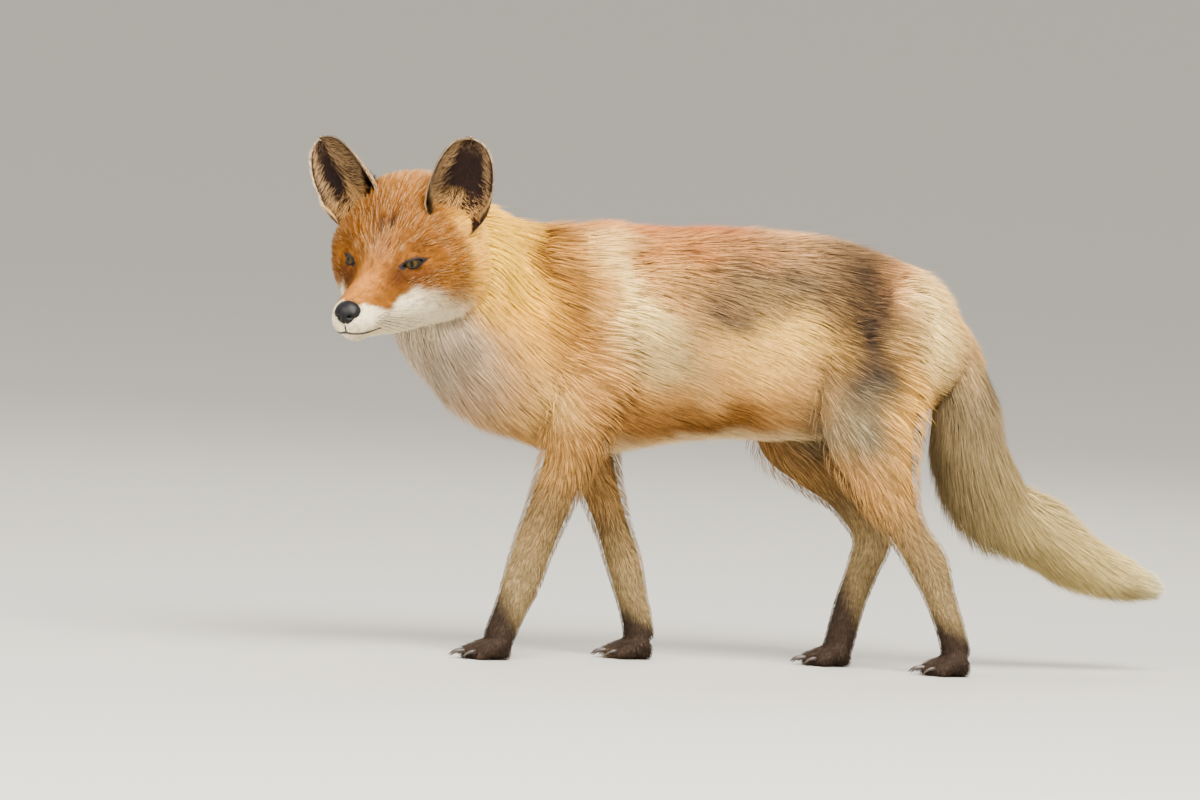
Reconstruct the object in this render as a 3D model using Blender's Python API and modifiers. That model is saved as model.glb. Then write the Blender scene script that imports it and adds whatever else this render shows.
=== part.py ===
"""A red fox, life size, walking and looking to its left, as a still museum model.

Metres, +Z up. The fox faces -X, its left side is -Y, and its soles stand on Z = 0. The outer form is the
form of the coat. The body is modelled whole, from tubes of changing section that are fused into one skin,
and is then parted with thin cuts into the parts that a person would name.
"""

import math

import bmesh
import bpy
import numpy as np
from mathutils import Matrix, Vector

CM = 0.01
GAP = 0.0003  # between two parts that meet
MERGE = 0.00003
VOXEL = 0.0026  # of the fused body
BODY_TRIANGLES = 3100
RING_SIDES = 24
SLEEVE_SIDES = 12
CLAW_SIDES = 5
RINGS_PER_STATION = 4

# The head turns to its left and looks a little down. Its own frame starts at the nose tip and measures
# back along the head, across to the fox's left, and up.
HEAD_TURN = math.radians(53)
HEAD_DOWN = math.radians(15.5)
NOSE_TIP = Vector((-0.300, -0.150, 0.2995))

# Columns: x, y, z, half width, height above and depth below. From the rump to the back of the skull.
TRUNK = (
    (0.290, 0.000, 0.282, 0.012, 0.016, 0.020),
    (0.264, 0.000, 0.288, 0.036, 0.044, 0.052),
    (0.235, 0.000, 0.293, 0.053, 0.067, 0.074),
    (0.200, 0.000, 0.297, 0.062, 0.077, 0.090),
    (0.150, 0.000, 0.303, 0.061, 0.084, 0.103),
    (0.100, 0.000, 0.305, 0.061, 0.086, 0.108),
    (0.050, 0.000, 0.304, 0.066, 0.087, 0.109),
    (0.000, 0.000, 0.301, 0.071, 0.088, 0.112),
    (-0.050, 0.000, 0.299, 0.072, 0.091, 0.117),
    (-0.090, 0.000, 0.298, 0.070, 0.092, 0.114),
    (-0.130, -0.003, 0.302, 0.067, 0.093, 0.100),
    (-0.166, -0.012, 0.319, 0.066, 0.087, 0.086),
    (-0.198, -0.028, 0.340, 0.066, 0.077, 0.076),
    (-0.226, -0.048, 0.352, 0.062, 0.064, 0.064),
    (-0.244, -0.066, 0.358, 0.054, 0.052, 0.052),
)

# Columns: x, y, z, half width across, reach to the front and to the back. From the shoulder or hip down.
FORELEG_LEFT = (
    (-0.035, -0.034, 0.335, 0.024, 0.030, 0.032),
    (-0.058, -0.041, 0.275, 0.034, 0.048, 0.050),
    (-0.066, -0.043, 0.220, 0.031, 0.038, 0.042),
    (-0.075, -0.040, 0.174, 0.025, 0.029, 0.030),
    (-0.085, -0.038, 0.142, 0.021, 0.024, 0.023),
    (-0.100, -0.036, 0.097, 0.018, 0.021, 0.020),
    (-0.109, -0.035, 0.068, 0.017, 0.018, 0.019),
    (-0.118, -0.035, 0.040, 0.016, 0.016, 0.015),
    (-0.126, -0.035, 0.018, 0.017, 0.015, 0.014),
)
FORELEG_RIGHT = (
    (-0.035, 0.034, 0.335, 0.024, 0.030, 0.032),
    (-0.052, 0.041, 0.275, 0.034, 0.048, 0.050),
    (-0.046, 0.043, 0.215, 0.031, 0.038, 0.040),
    (-0.032, 0.040, 0.168, 0.024, 0.028, 0.027),
    (-0.016, 0.038, 0.123, 0.019, 0.020, 0.020),
    (-0.003, 0.036, 0.086, 0.017, 0.018, 0.019),
    (0.005, 0.035, 0.060, 0.016, 0.016, 0.016),
    (0.012, 0.035, 0.036, 0.015, 0.015, 0.015),
    (0.016, 0.035, 0.018, 0.016, 0.015, 0.014),
)
HINDLEG_LEFT = (
    (0.215, -0.030, 0.330, 0.030, 0.036, 0.034),
    (0.200, -0.042, 0.272, 0.037, 0.062, 0.056),
    (0.198, -0.046, 0.215, 0.034, 0.056, 0.052),
    (0.213, -0.044, 0.168, 0.027, 0.036, 0.036),
    (0.234, -0.041, 0.130, 0.019, 0.021, 0.022),
    (0.256, -0.038, 0.099, 0.017, 0.019, 0.022),
    (0.270, -0.036, 0.070, 0.015, 0.015, 0.016),
    (0.282, -0.035, 0.042, 0.015, 0.014, 0.014),
    (0.290, -0.035, 0.018, 0.016, 0.015, 0.013),
)
HINDLEG_RIGHT = (
    (0.205, 0.030, 0.330, 0.030, 0.036, 0.034),
    (0.176, 0.042, 0.270, 0.037, 0.062, 0.056),
    (0.145, 0.046, 0.212, 0.034, 0.046, 0.050),
    (0.166, 0.044, 0.180, 0.027, 0.032, 0.036),
    (0.196, 0.041, 0.155, 0.020, 0.022, 0.024),
    (0.222, 0.038, 0.120, 0.018, 0.019, 0.022),
    (0.216, 0.036, 0.088, 0.015, 0.016, 0.017),
    (0.206, 0.035, 0.056, 0.015, 0.015, 0.015),
    (0.198, 0.035, 0.018, 0.016, 0.015, 0.014),
)
TAIL = (
    (0.250, 0.000, 0.318, 0.018, 0.020, 0.020),
    (0.273, 0.002, 0.290, 0.029, 0.029, 0.029),
    (0.289, 0.004, 0.255, 0.034, 0.034, 0.036),
    (0.299, 0.010, 0.218, 0.039, 0.037, 0.043),
    (0.312, 0.018, 0.184, 0.041, 0.040, 0.046),
    (0.331, 0.028, 0.158, 0.040, 0.038, 0.044),
    (0.371, 0.045, 0.133, 0.036, 0.035, 0.038),
    (0.413, 0.062, 0.107, 0.030, 0.030, 0.031),
    (0.455, 0.077, 0.090, 0.023, 0.023, 0.023),
    (0.486, 0.087, 0.081, 0.015, 0.015, 0.015),
    (0.506, 0.094, 0.077, 0.006, 0.006, 0.006),
)

# Columns, in cm of the head's frame: back, level of the widest line, half width, height above, depth below.
HEAD = (
    (0.25, -0.60, 1.10, 0.90, 1.00),
    (0.90, -0.60, 1.65, 1.50, 1.75),
    (1.80, -0.60, 1.90, 1.95, 2.15),
    (3.20, -0.60, 2.10, 2.40, 2.30),
    (4.80, -0.60, 2.40, 2.90, 2.60),
    (6.20, -0.30, 3.00, 3.50, 3.20),
    (7.50, 0.30, 4.00, 4.50, 4.15),
    (9.00, 1.20, 5.25, 5.60, 5.40),
    (10.50, 1.60, 6.30, 6.80, 6.10),
    (12.00, 1.70, 6.90, 7.60, 6.50),
    (13.50, 1.80, 7.00, 7.70, 6.70),
    (15.00, 2.00, 6.30, 6.80, 6.40),
    (16.20, 2.20, 4.60, 4.80, 4.80),
)
# Swellings and hollows of the head, in cm: back, left, up, reach, height. Each is also made on the right.
HEAD_FORMS = (
    (8.2, 3.4, 2.6, 1.35, -0.55),  # eye hollow
    (11.6, 4.7, 6.4, 1.60, -0.85),  # hollow before the ear
    (6.6, 1.7, 3.1, 1.00, -0.28),  # side of the bridge
    (8.0, 2.4, 4.6, 1.10, 0.30),  # brow
    (9.3, 4.9, 0.7, 1.70, 0.08),  # cheek bone
    (12.6, 6.6, -1.6, 2.20, 0.75),  # cheek ruff
    (2.2, 1.6, -0.6, 1.00, 0.16),  # whisker pad
    (5.2, 2.0, 0.9, 1.20, -0.22),  # hollow between muzzle and cheek
)
EYE_CENTRE = (8.30, 2.65, 2.65)
EYE_RADIUS = 0.0088
EYE_OPENING = (1.25, 0.50)  # cm: half its length and half its height, where it meets the coat
EYE_OPENING_TURN = (42, 10)  # degrees: how far it faces to the side, and how far its outer corner rises
NOSE_SIZE = (1.00, 1.22, 0.98)  # cm: half length, half width, half height
NOSE_CENTRE = (0.95, 0.0, 0.05)

# The ears, in cm of the head's frame: base centre, tip, and the way the cup opens.
EARS = {
    "ear_left": ((13.0, 4.5, 5.6), (13.88, 6.45, 12.60), (-0.80, 0.58, -0.10), (1.2, 0.8)),
    "ear_right": ((13.0, -3.9, 5.6), (13.29, -7.98, 11.97), (-0.98, -0.10, -0.10), (-1.9, -0.5)),
}
EAR_HALF_WIDTH = 2.75 * CM
EAR_THICKNESS = 0.0042

# Paws: toe places across, how far each reaches ahead of the last leg station, and their thickness.
TOE_ACROSS = (-0.0135, -0.0047, 0.0047, 0.0135)
TOE_REACH = (0.022, 0.031, 0.031, 0.022)
TOE_RADIUS = 0.0074
CLAW_LENGTH = 0.011
LEGS = {
    "foreleg_left": FORELEG_LEFT,
    "foreleg_right": FORELEG_RIGHT,
    "hindleg_left": HINDLEG_LEFT,
    "hindleg_right": HINDLEG_RIGHT,
}

RUST = (0.58, 0.27, 0.10)
OCHRE = (0.66, 0.42, 0.20)
CREAM = (0.78, 0.68, 0.52)
GREY_BROWN = (0.36, 0.27, 0.20)
SOCK_BROWN = (0.10, 0.065, 0.045)
MATERIALS = {  # colour, roughness
    "head_coat": (RUST, 0.85),
    "cheek_white": ((0.82, 0.77, 0.70), 0.85),
    "neck_coat": (OCHRE, 0.85),
    "trunk_coat": ((0.55, 0.36, 0.21), 0.85),
    "leg_coat": ((0.56, 0.40, 0.24), 0.85),
    "paw_coat": (SOCK_BROWN, 0.80),
    "tail_coat": (GREY_BROWN, 0.85),
    "tail_tip": (CREAM, 0.85),
    "ear_back": ((0.14, 0.09, 0.06), 0.80),
    "nose_leather": ((0.020, 0.018, 0.020), 0.35),
    "eye": ((0.34, 0.22, 0.07), 0.05),
}

parts = bpy.data.collections.new("red_fox")
helpers = bpy.data.collections.new("cutters")


def clear_scene():
    for obj in list(bpy.data.objects):
        bpy.data.objects.remove(obj)
    for collection in (parts, helpers):
        bpy.context.scene.collection.children.link(collection)
    helpers.hide_render = True


def material(name):
    """The finish of that name, made once."""
    if name in bpy.data.materials:
        return bpy.data.materials[name]
    colour, roughness = MATERIALS[name]
    made = bpy.data.materials.new(name)
    made.use_nodes = True
    shader = made.node_tree.nodes["Principled BSDF"]
    shader.inputs["Base Color"].default_value = (*colour, 1.0)
    shader.inputs["Roughness"].default_value = roughness
    shader.inputs["Metallic"].default_value = 0.0
    made.diffuse_color = (*colour, 1.0)
    return made


def add_object(name, mesh, collection=helpers):
    obj = bpy.data.objects.new(name, mesh)
    collection.objects.link(obj)
    if collection is helpers:
        obj.hide_render = True
        obj.display_type = "WIRE"
    return obj


def mesh_from(name, build):
    """A mesh of triangles filled by build(bm), with its faces pointing out."""
    bm = bmesh.new()
    build(bm)
    bmesh.ops.triangulate(bm, faces=bm.faces)
    bmesh.ops.recalc_face_normals(bm, faces=bm.faces)
    mesh = bpy.data.meshes.new(name)
    bm.to_mesh(mesh)
    bm.free()
    return mesh


def evaluated_copy(obj, name):
    """The object's mesh with its modifiers and its place applied."""
    graph = bpy.context.evaluated_depsgraph_get()
    mesh = bpy.data.meshes.new_from_object(obj.evaluated_get(graph))
    mesh.transform(obj.matrix_world)
    mesh.name = name
    return mesh


def smooth_rows(rows, per_gap=RINGS_PER_STATION):
    """Rows between the stations, on a Catmull-Rom spline through every column."""
    p = np.array(rows, float)
    p = np.vstack([2 * p[0] - p[1], p, 2 * p[-1] - p[-2]])
    t = np.arange(per_gap)[:, None] / per_gap
    pieces = []
    for a, b, c, d in zip(p[:-3], p[1:-2], p[2:-1], p[3:]):
        cubic = 2 * b + (c - a) * t + (2 * a - 5 * b + 4 * c - d) * t**2 + (3 * b - a - 3 * c + d) * t**3
        pieces.append(cubic / 2)
    return np.vstack([*pieces, p[-2:-1]])


def ring_points(centre, across, outward, half_width, ahead, behind, sides=RING_SIDES):
    """One section: an ellipse whose halves may differ, with outward as its first direction."""
    turn = 2 * math.pi * np.arange(sides) / sides
    reach = np.where(np.cos(turn) > 0, ahead, behind)
    return (
        centre
        + np.outer(np.cos(turn) * reach, outward)
        + np.outer(np.sin(turn) * half_width, across)
    )


def unit(v):
    return v / np.linalg.norm(v)


def loft(bm, rings):
    """Skins the rings with quads and closes both ends."""
    rows = [[bm.verts.new(p) for p in ring] for ring in rings]
    for one, other in zip(rows, rows[1:]):
        for i in range(len(one)):
            j = (i + 1) % len(one)
            bm.faces.new((one[i], one[j], other[j], other[i]))
    bm.faces.new(rows[0])
    bm.faces.new(reversed(rows[-1]))


def tube_rings(stations, standing, sides=RING_SIDES):
    """Rings along a spine (standing False) or down a leg (standing True).

    A spine's sections keep their sides level and measure height; a leg's keep theirs across the body and
    measure to the front, which is -X."""
    rows = smooth_rows(stations)
    tangents = np.gradient(rows[:, :3], axis=0)
    rings = []
    for row, tangent in zip(rows, tangents):
        along = unit(tangent)
        across = np.array((0.0, 1.0, 0.0)) if standing else unit(np.cross(along, (0.0, 0.0, 1.0)))
        across = unit(across - along * across.dot(along))
        outward = unit(np.cross(across, along))
        if (outward[0] > 0) if standing else (outward[2] < 0):
            outward = -outward
        rings.append(ring_points(row[:3], across, outward, *row[3:6], sides))
    return rings


def head_matrix():
    """From the head's frame (back, left, up) to the body's."""
    forward = Vector((-math.cos(HEAD_TURN), -math.sin(HEAD_TURN), 0.0)) * math.cos(HEAD_DOWN)
    forward.z = -math.sin(HEAD_DOWN)
    left = Vector((0, 0, 1)).cross(forward).normalized()
    up = forward.cross(left)
    turned = Matrix((-forward, left, up)).transposed().to_4x4()
    return Matrix.Translation(NOSE_TIP) @ turned


HEAD_FRAME = head_matrix()


def in_head(back, left, up):
    """A point given in cm of the head's frame."""
    return HEAD_FRAME @ (Vector((back, left, up)) * CM)


def head_rings():
    """The skull and muzzle, with the swellings and hollows pushed along each point's own direction."""
    rings = []
    for back, level, width, above, below in smooth_rows(HEAD):
        centre = np.array((back, 0.0, level))
        ring = ring_points(centre, np.array((0.0, 1.0, 0.0)), np.array((0.0, 0.0, 1.0)), width, above, below)
        outward = ring - centre
        outward /= np.linalg.norm(outward, axis=1)[:, None]
        for b, l, u, reach, height in HEAD_FORMS:
            near = np.abs(ring) * (1, 1, 0) + ring * (0, 0, 1) - (b, l, u)
            ring = ring + outward * (height * np.exp(-(near**2).sum(1) / reach**2))[:, None]
        rings.append([in_head(*p) for p in ring])
    return rings


def toe_stations(leg, across, reach):
    """A toe from the knuckles, over its joint, and down to its tip just ahead of the sole."""
    x, y, _, *_ = leg[-1]
    r = TOE_RADIUS
    return (
        (x + 0.004, y + across * 0.8, 0.016, r, r, r),
        (x - reach * 0.35, y + across, 0.0115, r * 1.02, r, r),
        (x - reach * 0.75, y + across, 0.0060, r, r, r),
        (x - reach * 1.05, y + across * 0.97, 0.0046, r * 0.72, r * 0.75, r * 0.75),
    )


def claw_stations(leg, across, reach):
    x, y, _, *_ = leg[-1]
    tip = x - reach * 1.05
    return (
        (tip + 0.005, y + across * 0.97, 0.0066, 0.0018, 0.0022, 0.0022),
        (tip - CLAW_LENGTH * 0.55, y + across * 0.97, 0.0064, 0.0014, 0.0018, 0.0018),
        (tip - CLAW_LENGTH, y + across * 0.96, 0.0022, 0.0007, 0.0008, 0.0008),
    )


def heel_stations(leg):
    """The pad behind the toes."""
    x, y, _, *_ = leg[-1]
    return (
        (x + 0.010, y, 0.0085, 0.009, 0.008, 0.009),
        (x + 0.001, y, 0.0080, 0.0155, 0.010, 0.0105),
        (x - 0.012, y, 0.0080, 0.0120, 0.009, 0.0095),
    )


def keep_largest(mesh):
    """Drops every loose scrap but the largest piece."""
    bm = bmesh.new()
    bm.from_mesh(mesh)
    left = set(bm.verts)
    largest = set()
    while left:
        edge = {left.pop()}
        piece = set(edge)
        while edge:
            edge = {e.other_vert(v) for v in edge for e in v.link_edges} - piece
            piece |= edge
        left -= piece
        largest = max(largest, piece, key=len)
    bmesh.ops.delete(bm, geom=[v for v in bm.verts if v not in largest], context="VERTS")
    bm.to_mesh(mesh)
    bm.free()


def claws(leg):
    """The four claws of a foot, as one mesh that reaches into the toes."""

    def build(bm):
        for across, reach in zip(TOE_ACROSS, TOE_REACH):
            loft(bm, tube_rings(claw_stations(leg, across, reach), False, CLAW_SIDES)[::4])

    return add_object("claws", mesh_from("claws", build))


def fused_body():
    """Every tube in one mesh, fused by a voxel remesh, smoothed and thinned to the body's triangles."""

    def build(bm):
        loft(bm, tube_rings(TRUNK, standing=False))
        loft(bm, tube_rings(TAIL, standing=False))
        loft(bm, head_rings())
        for leg in LEGS.values():
            loft(bm, tube_rings(leg, standing=True))
            loft(bm, tube_rings(heel_stations(leg), standing=False))
            for across, reach in zip(TOE_ACROSS, TOE_REACH):
                loft(bm, tube_rings(toe_stations(leg, across, reach), standing=False))

    body = add_object("whole_body", mesh_from("whole_body", build))
    fuse = body.modifiers.new("fuse", "REMESH")
    fuse.mode = "VOXEL"
    fuse.voxel_size = VOXEL
    relax = body.modifiers.new("relax", "SMOOTH")
    relax.factor = 0.5
    relax.iterations = 10
    fine = add_object("fine_body", evaluated_copy(body, "fine_body"))
    keep_largest(fine.data)
    thin = fine.modifiers.new("thin", "DECIMATE")
    fine_triangles = sum(len(p.vertices) - 2 for p in fine.data.polygons)
    thin.ratio = BODY_TRIANGLES / fine_triangles
    return add_object("thin_body", evaluated_copy(fine, "thin_body"))


def box_cutter(name, low, high, frame=None):
    """A box between two corners, in the body's frame or in the one given."""
    low, high = Vector(low), Vector(high)
    size = Matrix.Diagonal((*(high - low), 1.0))

    def build(bm):
        place = Matrix.Translation((low + high) / 2)
        bmesh.ops.create_cube(bm, size=1.0, matrix=(frame or Matrix()) @ place @ size)

    return add_object(name, mesh_from(name, build))


def grown(cutter, by=GAP):
    """A copy of a cutter, pushed out by the gap."""
    copy = add_object(cutter.name + "_grown", cutter.data.copy())
    push = copy.modifiers.new("push", "DISPLACE")
    push.strength = by
    push.mid_level = 0.0
    return add_object(cutter.name + "_cut", evaluated_copy(copy, copy.name))


def tidy(mesh):
    """Triangles only, with points that a cut left almost on top of each other made one."""
    bm = bmesh.new()
    bm.from_mesh(mesh)
    bmesh.ops.triangulate(bm, faces=bm.faces)
    bmesh.ops.remove_doubles(bm, verts=bm.verts, dist=MERGE)
    bmesh.ops.dissolve_degenerate(bm, dist=MERGE, edges=bm.edges)
    bmesh.ops.triangulate(bm, faces=bm.faces)
    bm.to_mesh(mesh)
    bm.free()


def boolean(obj, cutter, operation, name):
    step = obj.modifiers.new("cut", "BOOLEAN")
    step.operation = operation
    step.object = cutter
    mesh = evaluated_copy(obj, name)
    obj.modifiers.remove(step)
    tidy(mesh)
    return add_object(name, mesh)


def split(obj, cutter, taken, left):
    """(what lies in the cutter, what lies outside it), with the gap between them and no crumbs."""
    inside = boolean(obj, cutter, "INTERSECT", taken)
    outside = boolean(obj, grown(cutter), "DIFFERENCE", left)
    keep_largest(inside.data)
    keep_largest(outside.data)
    return inside, outside


def plane_cutter(name, point, direction, size=0.12, depth=0.9):
    """A box whose near face passes through point and which reaches along direction."""
    frame = Vector(direction).to_track_quat("Z", "Y").to_matrix().to_4x4()
    frame.translation = Vector(point)
    return box_cutter(name, (-size, -size, 0.0), (size, size, depth), frame)


def level_rings(stations):
    """The rings of a sleeve round a leg, every one of them level, so that none crosses the next."""
    across, ahead = np.array((0.0, 1.0, 0.0)), np.array((-1.0, 0.0, 0.0))
    rows = smooth_rows(stations, 1)
    return [ring_points(row[:3], across, ahead, *row[3:6], SLEEVE_SIDES) for row in rows]


def leg_envelope(name, leg):
    """A sleeve round a leg and the shoulder or haunch that it grows from, down past the floor."""
    side = math.copysign(1.0, leg[0][1])
    hind = name.startswith("hind")
    top = ((0.0, 0.080, 0.040, 0.048, 0.050), (-0.010, 0.078, 0.052, 0.062, 0.062))
    reach = (0.074, 0.074) if hind else (0.054, 0.052)
    rows = []
    for (x, _, z, *_), (dx, y, across, ahead, behind) in zip(leg[:2], top):
        rows.append((x + dx, side * y, z, across, ahead * 1.05, behind * 1.1))
    for x, _, z, *_ in leg[2:4]:
        rows.append((x, side * 0.050, z, 0.046, *reach))
    for x, _, z, *_ in leg[4:-1]:
        rows.append((x, side * 0.040, z, 0.036, 0.058, 0.042))
    x, _, z, *_ = leg[-1]
    rows.append((x, side * 0.040, z, 0.039, 0.062, 0.036))
    rows.append((x, side * 0.040, -0.02, 0.039, 0.066, 0.036))
    return add_object(name, mesh_from(name, lambda bm: loft(bm, level_rings(rows))))


def jaw_cutter():
    """The profile of the lower jaw, from the lips back past the mouth's corner, drawn through the head."""
    lips = ((-1.0, -1.60), (1.2, -1.72), (3.2, -1.75), (5.2, -1.95), (6.4, -1.75))
    profile = (*lips, (8.2, -9.0), (-1.0, -9.0))
    outline = bpy.data.curves.new("jaw_profile", "CURVE")
    outline.dimensions = "2D"
    outline.fill_mode = "BOTH"
    outline.extrude = 5 * CM
    line = outline.splines.new("POLY")
    line.points.add(len(profile) - 1)
    line.use_cyclic_u = True
    for point, (back, up) in zip(line.points, profile):
        point.co = (back * CM, up * CM, 0.0, 1.0)
    curve = add_object("jaw_profile", outline)
    mesh = evaluated_copy(curve, "jaw_profile")
    bpy.data.objects.remove(curve)
    bm = bmesh.new()
    bm.from_mesh(mesh)
    bmesh.ops.remove_doubles(bm, verts=bm.verts, dist=1e-5)
    upright = Matrix(((1, 0, 0, 0), (0, 0, 1, 0), (0, 1, 0, 0), (0, 0, 0, 1)))
    bmesh.ops.transform(bm, matrix=HEAD_FRAME @ upright, verts=bm.verts)
    bmesh.ops.recalc_face_normals(bm, faces=bm.faces)
    bm.to_mesh(mesh)
    bm.free()
    return add_object("lower_jaw_cutter", mesh)


def ear_mesh(name, base, tip, opening, flare):
    """A cupped leaf: its section is an arc open to the front. Both edges flare out towards the skull."""
    base, tip = Vector(base) * CM, Vector(tip) * CM
    height = tip - base
    up = height.normalized()
    front = (Vector(opening) - up * Vector(opening).dot(up)).normalized()
    across = up.cross(front)
    rows, columns = 9, 9

    def build(bm):
        grid = []
        for i in range(rows):
            t = math.sin(math.pi / 2 * i / (rows - 1))
            width = EAR_HALF_WIDTH * (0.70 + 0.72 * t - 0.52 * t**2) * math.sqrt(1 - 0.995 * t**5.5)
            bend = math.radians(112 - 62 * t)
            radius = width / math.sin(min(bend, math.pi / 2))
            row = []
            for j in range(columns):
                place = 2 * j / (columns - 1) - 1
                turn = bend * place
                inner = math.copysign(1.0, flare[0]) * place
                spread = flare[0] if inner > 0 else -flare[1]
                point = base + height * t * (1 - 0.03 * abs(math.sin(turn)))
                point += across * spread * CM * inner**2 * (3 - 2 * abs(inner)) * (1 - t) ** 1.2
                point += across * radius * math.sin(turn) + front * radius * (0.62 - math.cos(turn) * 0.8)
                row.append(bm.verts.new(HEAD_FRAME @ point))
            grid.append(row)
        for low, high in zip(grid, grid[1:]):
            for j in range(columns - 1):
                bm.faces.new((low[j], low[j + 1], high[j + 1], high[j]))

    leaf = add_object(name + "_leaf", mesh_from(name, build))
    wall = leaf.modifiers.new("wall", "SOLIDIFY")
    wall.thickness = EAR_THICKNESS
    wall.offset = 0.0
    return evaluated_copy(leaf, name)


def ball(name, centre, size):
    """A ball or egg in the head's frame; centre and half sizes in cm."""

    def build(bm):
        place = Matrix.Translation(Vector(centre) * CM) @ Matrix.Diagonal((*(Vector(size) * CM), 1.0))
        bmesh.ops.create_uvsphere(bm, u_segments=12, v_segments=8, radius=1.0, matrix=HEAD_FRAME @ place)

    return add_object(name, mesh_from(name, build))


def eye_opening(name, side):
    """The almond between the lids, as a flat spindle that runs out from the middle of the eyeball."""
    back, left, up = EYE_CENTRE
    turn, rise = (math.radians(a) for a in EYE_OPENING_TURN)
    outward = Vector((-math.cos(turn), side * math.sin(turn), 0.10)).normalized()
    level = Vector((0, 0, 1)).cross(outward).normalized()
    high = outward.cross(level)
    tilt = rise * side
    along = level * math.cos(tilt) + high * math.sin(tilt)
    across = outward.cross(along)
    length, height = EYE_OPENING
    corners = []
    for step in range(12):
        angle = 2 * math.pi * step / 12
        narrow = height * abs(math.sin(angle)) ** 1.2 * math.copysign(1, math.sin(angle) + 1e-9)
        corners.append(along * math.cos(angle) * length + across * narrow)
    centre = Vector((back, side * left, up))

    def build(bm):
        rings = []
        for reach, size in ((0.0, 0.5), (0.9, 1.0), (3.0, 1.6)):
            rings.append([in_head(*(centre + outward * reach + corner * size)) for corner in corners])
        loft(bm, rings)

    return add_object(name, mesh_from(name, build))


def nose_pad():
    """The leather of the nose, with its two nostrils cut in."""
    nose = ball("nose_form", NOSE_CENTRE, NOSE_SIZE)
    for side in (1, -1):
        nostril = ball("nostril", (0.05, side * 0.62, -0.12), (0.42, 0.26, 0.24))
        nose = boolean(nose, nostril, "DIFFERENCE", "nose_cut")
    return nose


def keep(obj, name, finish):
    """Makes a cut piece a part of the fox."""
    obj.data.materials.clear()
    obj.data.materials.append(material(finish))
    obj.data.shade_smooth()
    obj.data.set_sharp_from_angle(angle=math.radians(50))
    helpers.objects.unlink(obj)
    parts.objects.link(obj)
    obj.name = name
    obj.hide_render = False
    obj.display_type = "SOLID"


def part_head(head):
    """Fits the eyes, nose and ears into the head and takes the lower jaw off it."""
    for name, side in (("eye_left", 1), ("eye_right", -1)):
        back, left, up = EYE_CENTRE
        eye = ball(name + "_ball", (back, side * left, up), (EYE_RADIUS / CM,) * 3)
        head = boolean(head, grown(eye), "DIFFERENCE", "head_cut")
        head = boolean(head, eye_opening(name + "_opening", side), "DIFFERENCE", "head_cut")
        keep(eye, name, "eye")
    nose = nose_pad()
    head = boolean(head, grown(ball("nose_room", NOSE_CENTRE, NOSE_SIZE)), "DIFFERENCE", "head_cut")
    keep(nose, "nose", "nose_leather")
    for name, (base, tip, opening, flare) in EARS.items():
        ear = add_object(name + "_shell", ear_mesh(name, base, tip, opening, flare))
        head = boolean(head, grown(ear), "DIFFERENCE", "head_cut")
        keep(ear, name, "ear_back")
    jaw, head = split(head, jaw_cutter(), "jaw_piece", "head_piece")
    keep(jaw, "lower_jaw", "cheek_white")
    keep(head, "head", "head_coat")


def part_leg(name, leg, body):
    """Takes one leg off the body and parts it at its upper joint and at the wrist or hock."""
    whole, body = split(body, leg_envelope(name + "_sleeve", leg), name + "_whole", "body_left")
    hind = name.startswith("hind")
    names = ("thigh", "shank", "hindpaw") if hind else ("shoulder", "forearm", "forepaw")
    upper_name, lower_name, foot_name = names
    side = name.split("_")[1]
    for station, piece, finish in ((3, upper_name, "leg_coat"), (6, lower_name, "leg_coat")):
        below = Vector(leg[station + 1][:3]) - Vector(leg[station - 1][:3])
        cutter = plane_cutter(f"{name}_{piece}_plane", leg[station][:3], below, size=0.2)
        whole, upper = split(whole, cutter, f"{name}_rest", f"{name}_{piece}")
        keep(upper, f"{piece}_{side}", finish)
    foot = boolean(whole, claws(leg), "UNION", f"{name}_foot")
    keep(foot, f"{foot_name}_{side}", "paw_coat")
    return body


def part_tail(body):
    """Takes the tail off the rump and divides it into root, brush and tip."""
    rump = plane_cutter("rump_plane", (0.270, 0.0, 0.278), (0.88, 0.0, -0.47), size=0.14)
    tail, body = split(body, rump, "tail_whole", "body_left")
    for station, piece in ((4, "tail_root"), (7, "tail_brush")):
        onward = Vector(TAIL[station + 1][:3]) - Vector(TAIL[station - 1][:3])
        cutter = plane_cutter(piece + "_plane", TAIL[station][:3], onward, size=0.2)
        tail, piece_obj = split(tail, cutter, "tail_rest", piece + "_piece")
        keep(piece_obj, piece, "tail_coat")
    keep(tail, "tail_tip", "tail_tip")
    return body


def centre_on_origin():
    """Moves the fox so that its box stands on the origin."""
    corners = np.array([v.co for obj in parts.objects for v in obj.data.vertices])
    middle = (corners.min(axis=0) + corners.max(axis=0)) / 2
    shift = Matrix.Translation((-middle[0], -middle[1], 0.0))
    for obj in parts.objects:
        obj.data.transform(shift)
    print("moved by", [round(float(v), 6) for v in shift.translation])


def main():
    clear_scene()
    body = fused_body()
    floor = box_cutter("floor", (-0.6, -0.4, -0.2), (0.8, 0.4, 0.0))
    body = boolean(body, floor, "DIFFERENCE", "standing_body")
    head_room = box_cutter("head_room", Vector((-4, -10, -7.4)) * CM, Vector((15, 10, 18)) * CM, HEAD_FRAME)
    head, body = split(body, head_room, "head_whole", "body_left")
    part_head(head)
    for name, leg in LEGS.items():
        body = part_leg(name, leg, body)
    body = part_tail(body)
    neck_base = plane_cutter("neck_base", (-0.128, 0.0, 0.300), (-0.93, -0.05, 0.36), size=0.16)
    neck, body = split(body, neck_base, "neck_piece", "trunk_piece")
    keep(neck, "neck", "neck_coat")
    keep(body, "trunk", "trunk_coat")
    centre_on_origin()


main()
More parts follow.
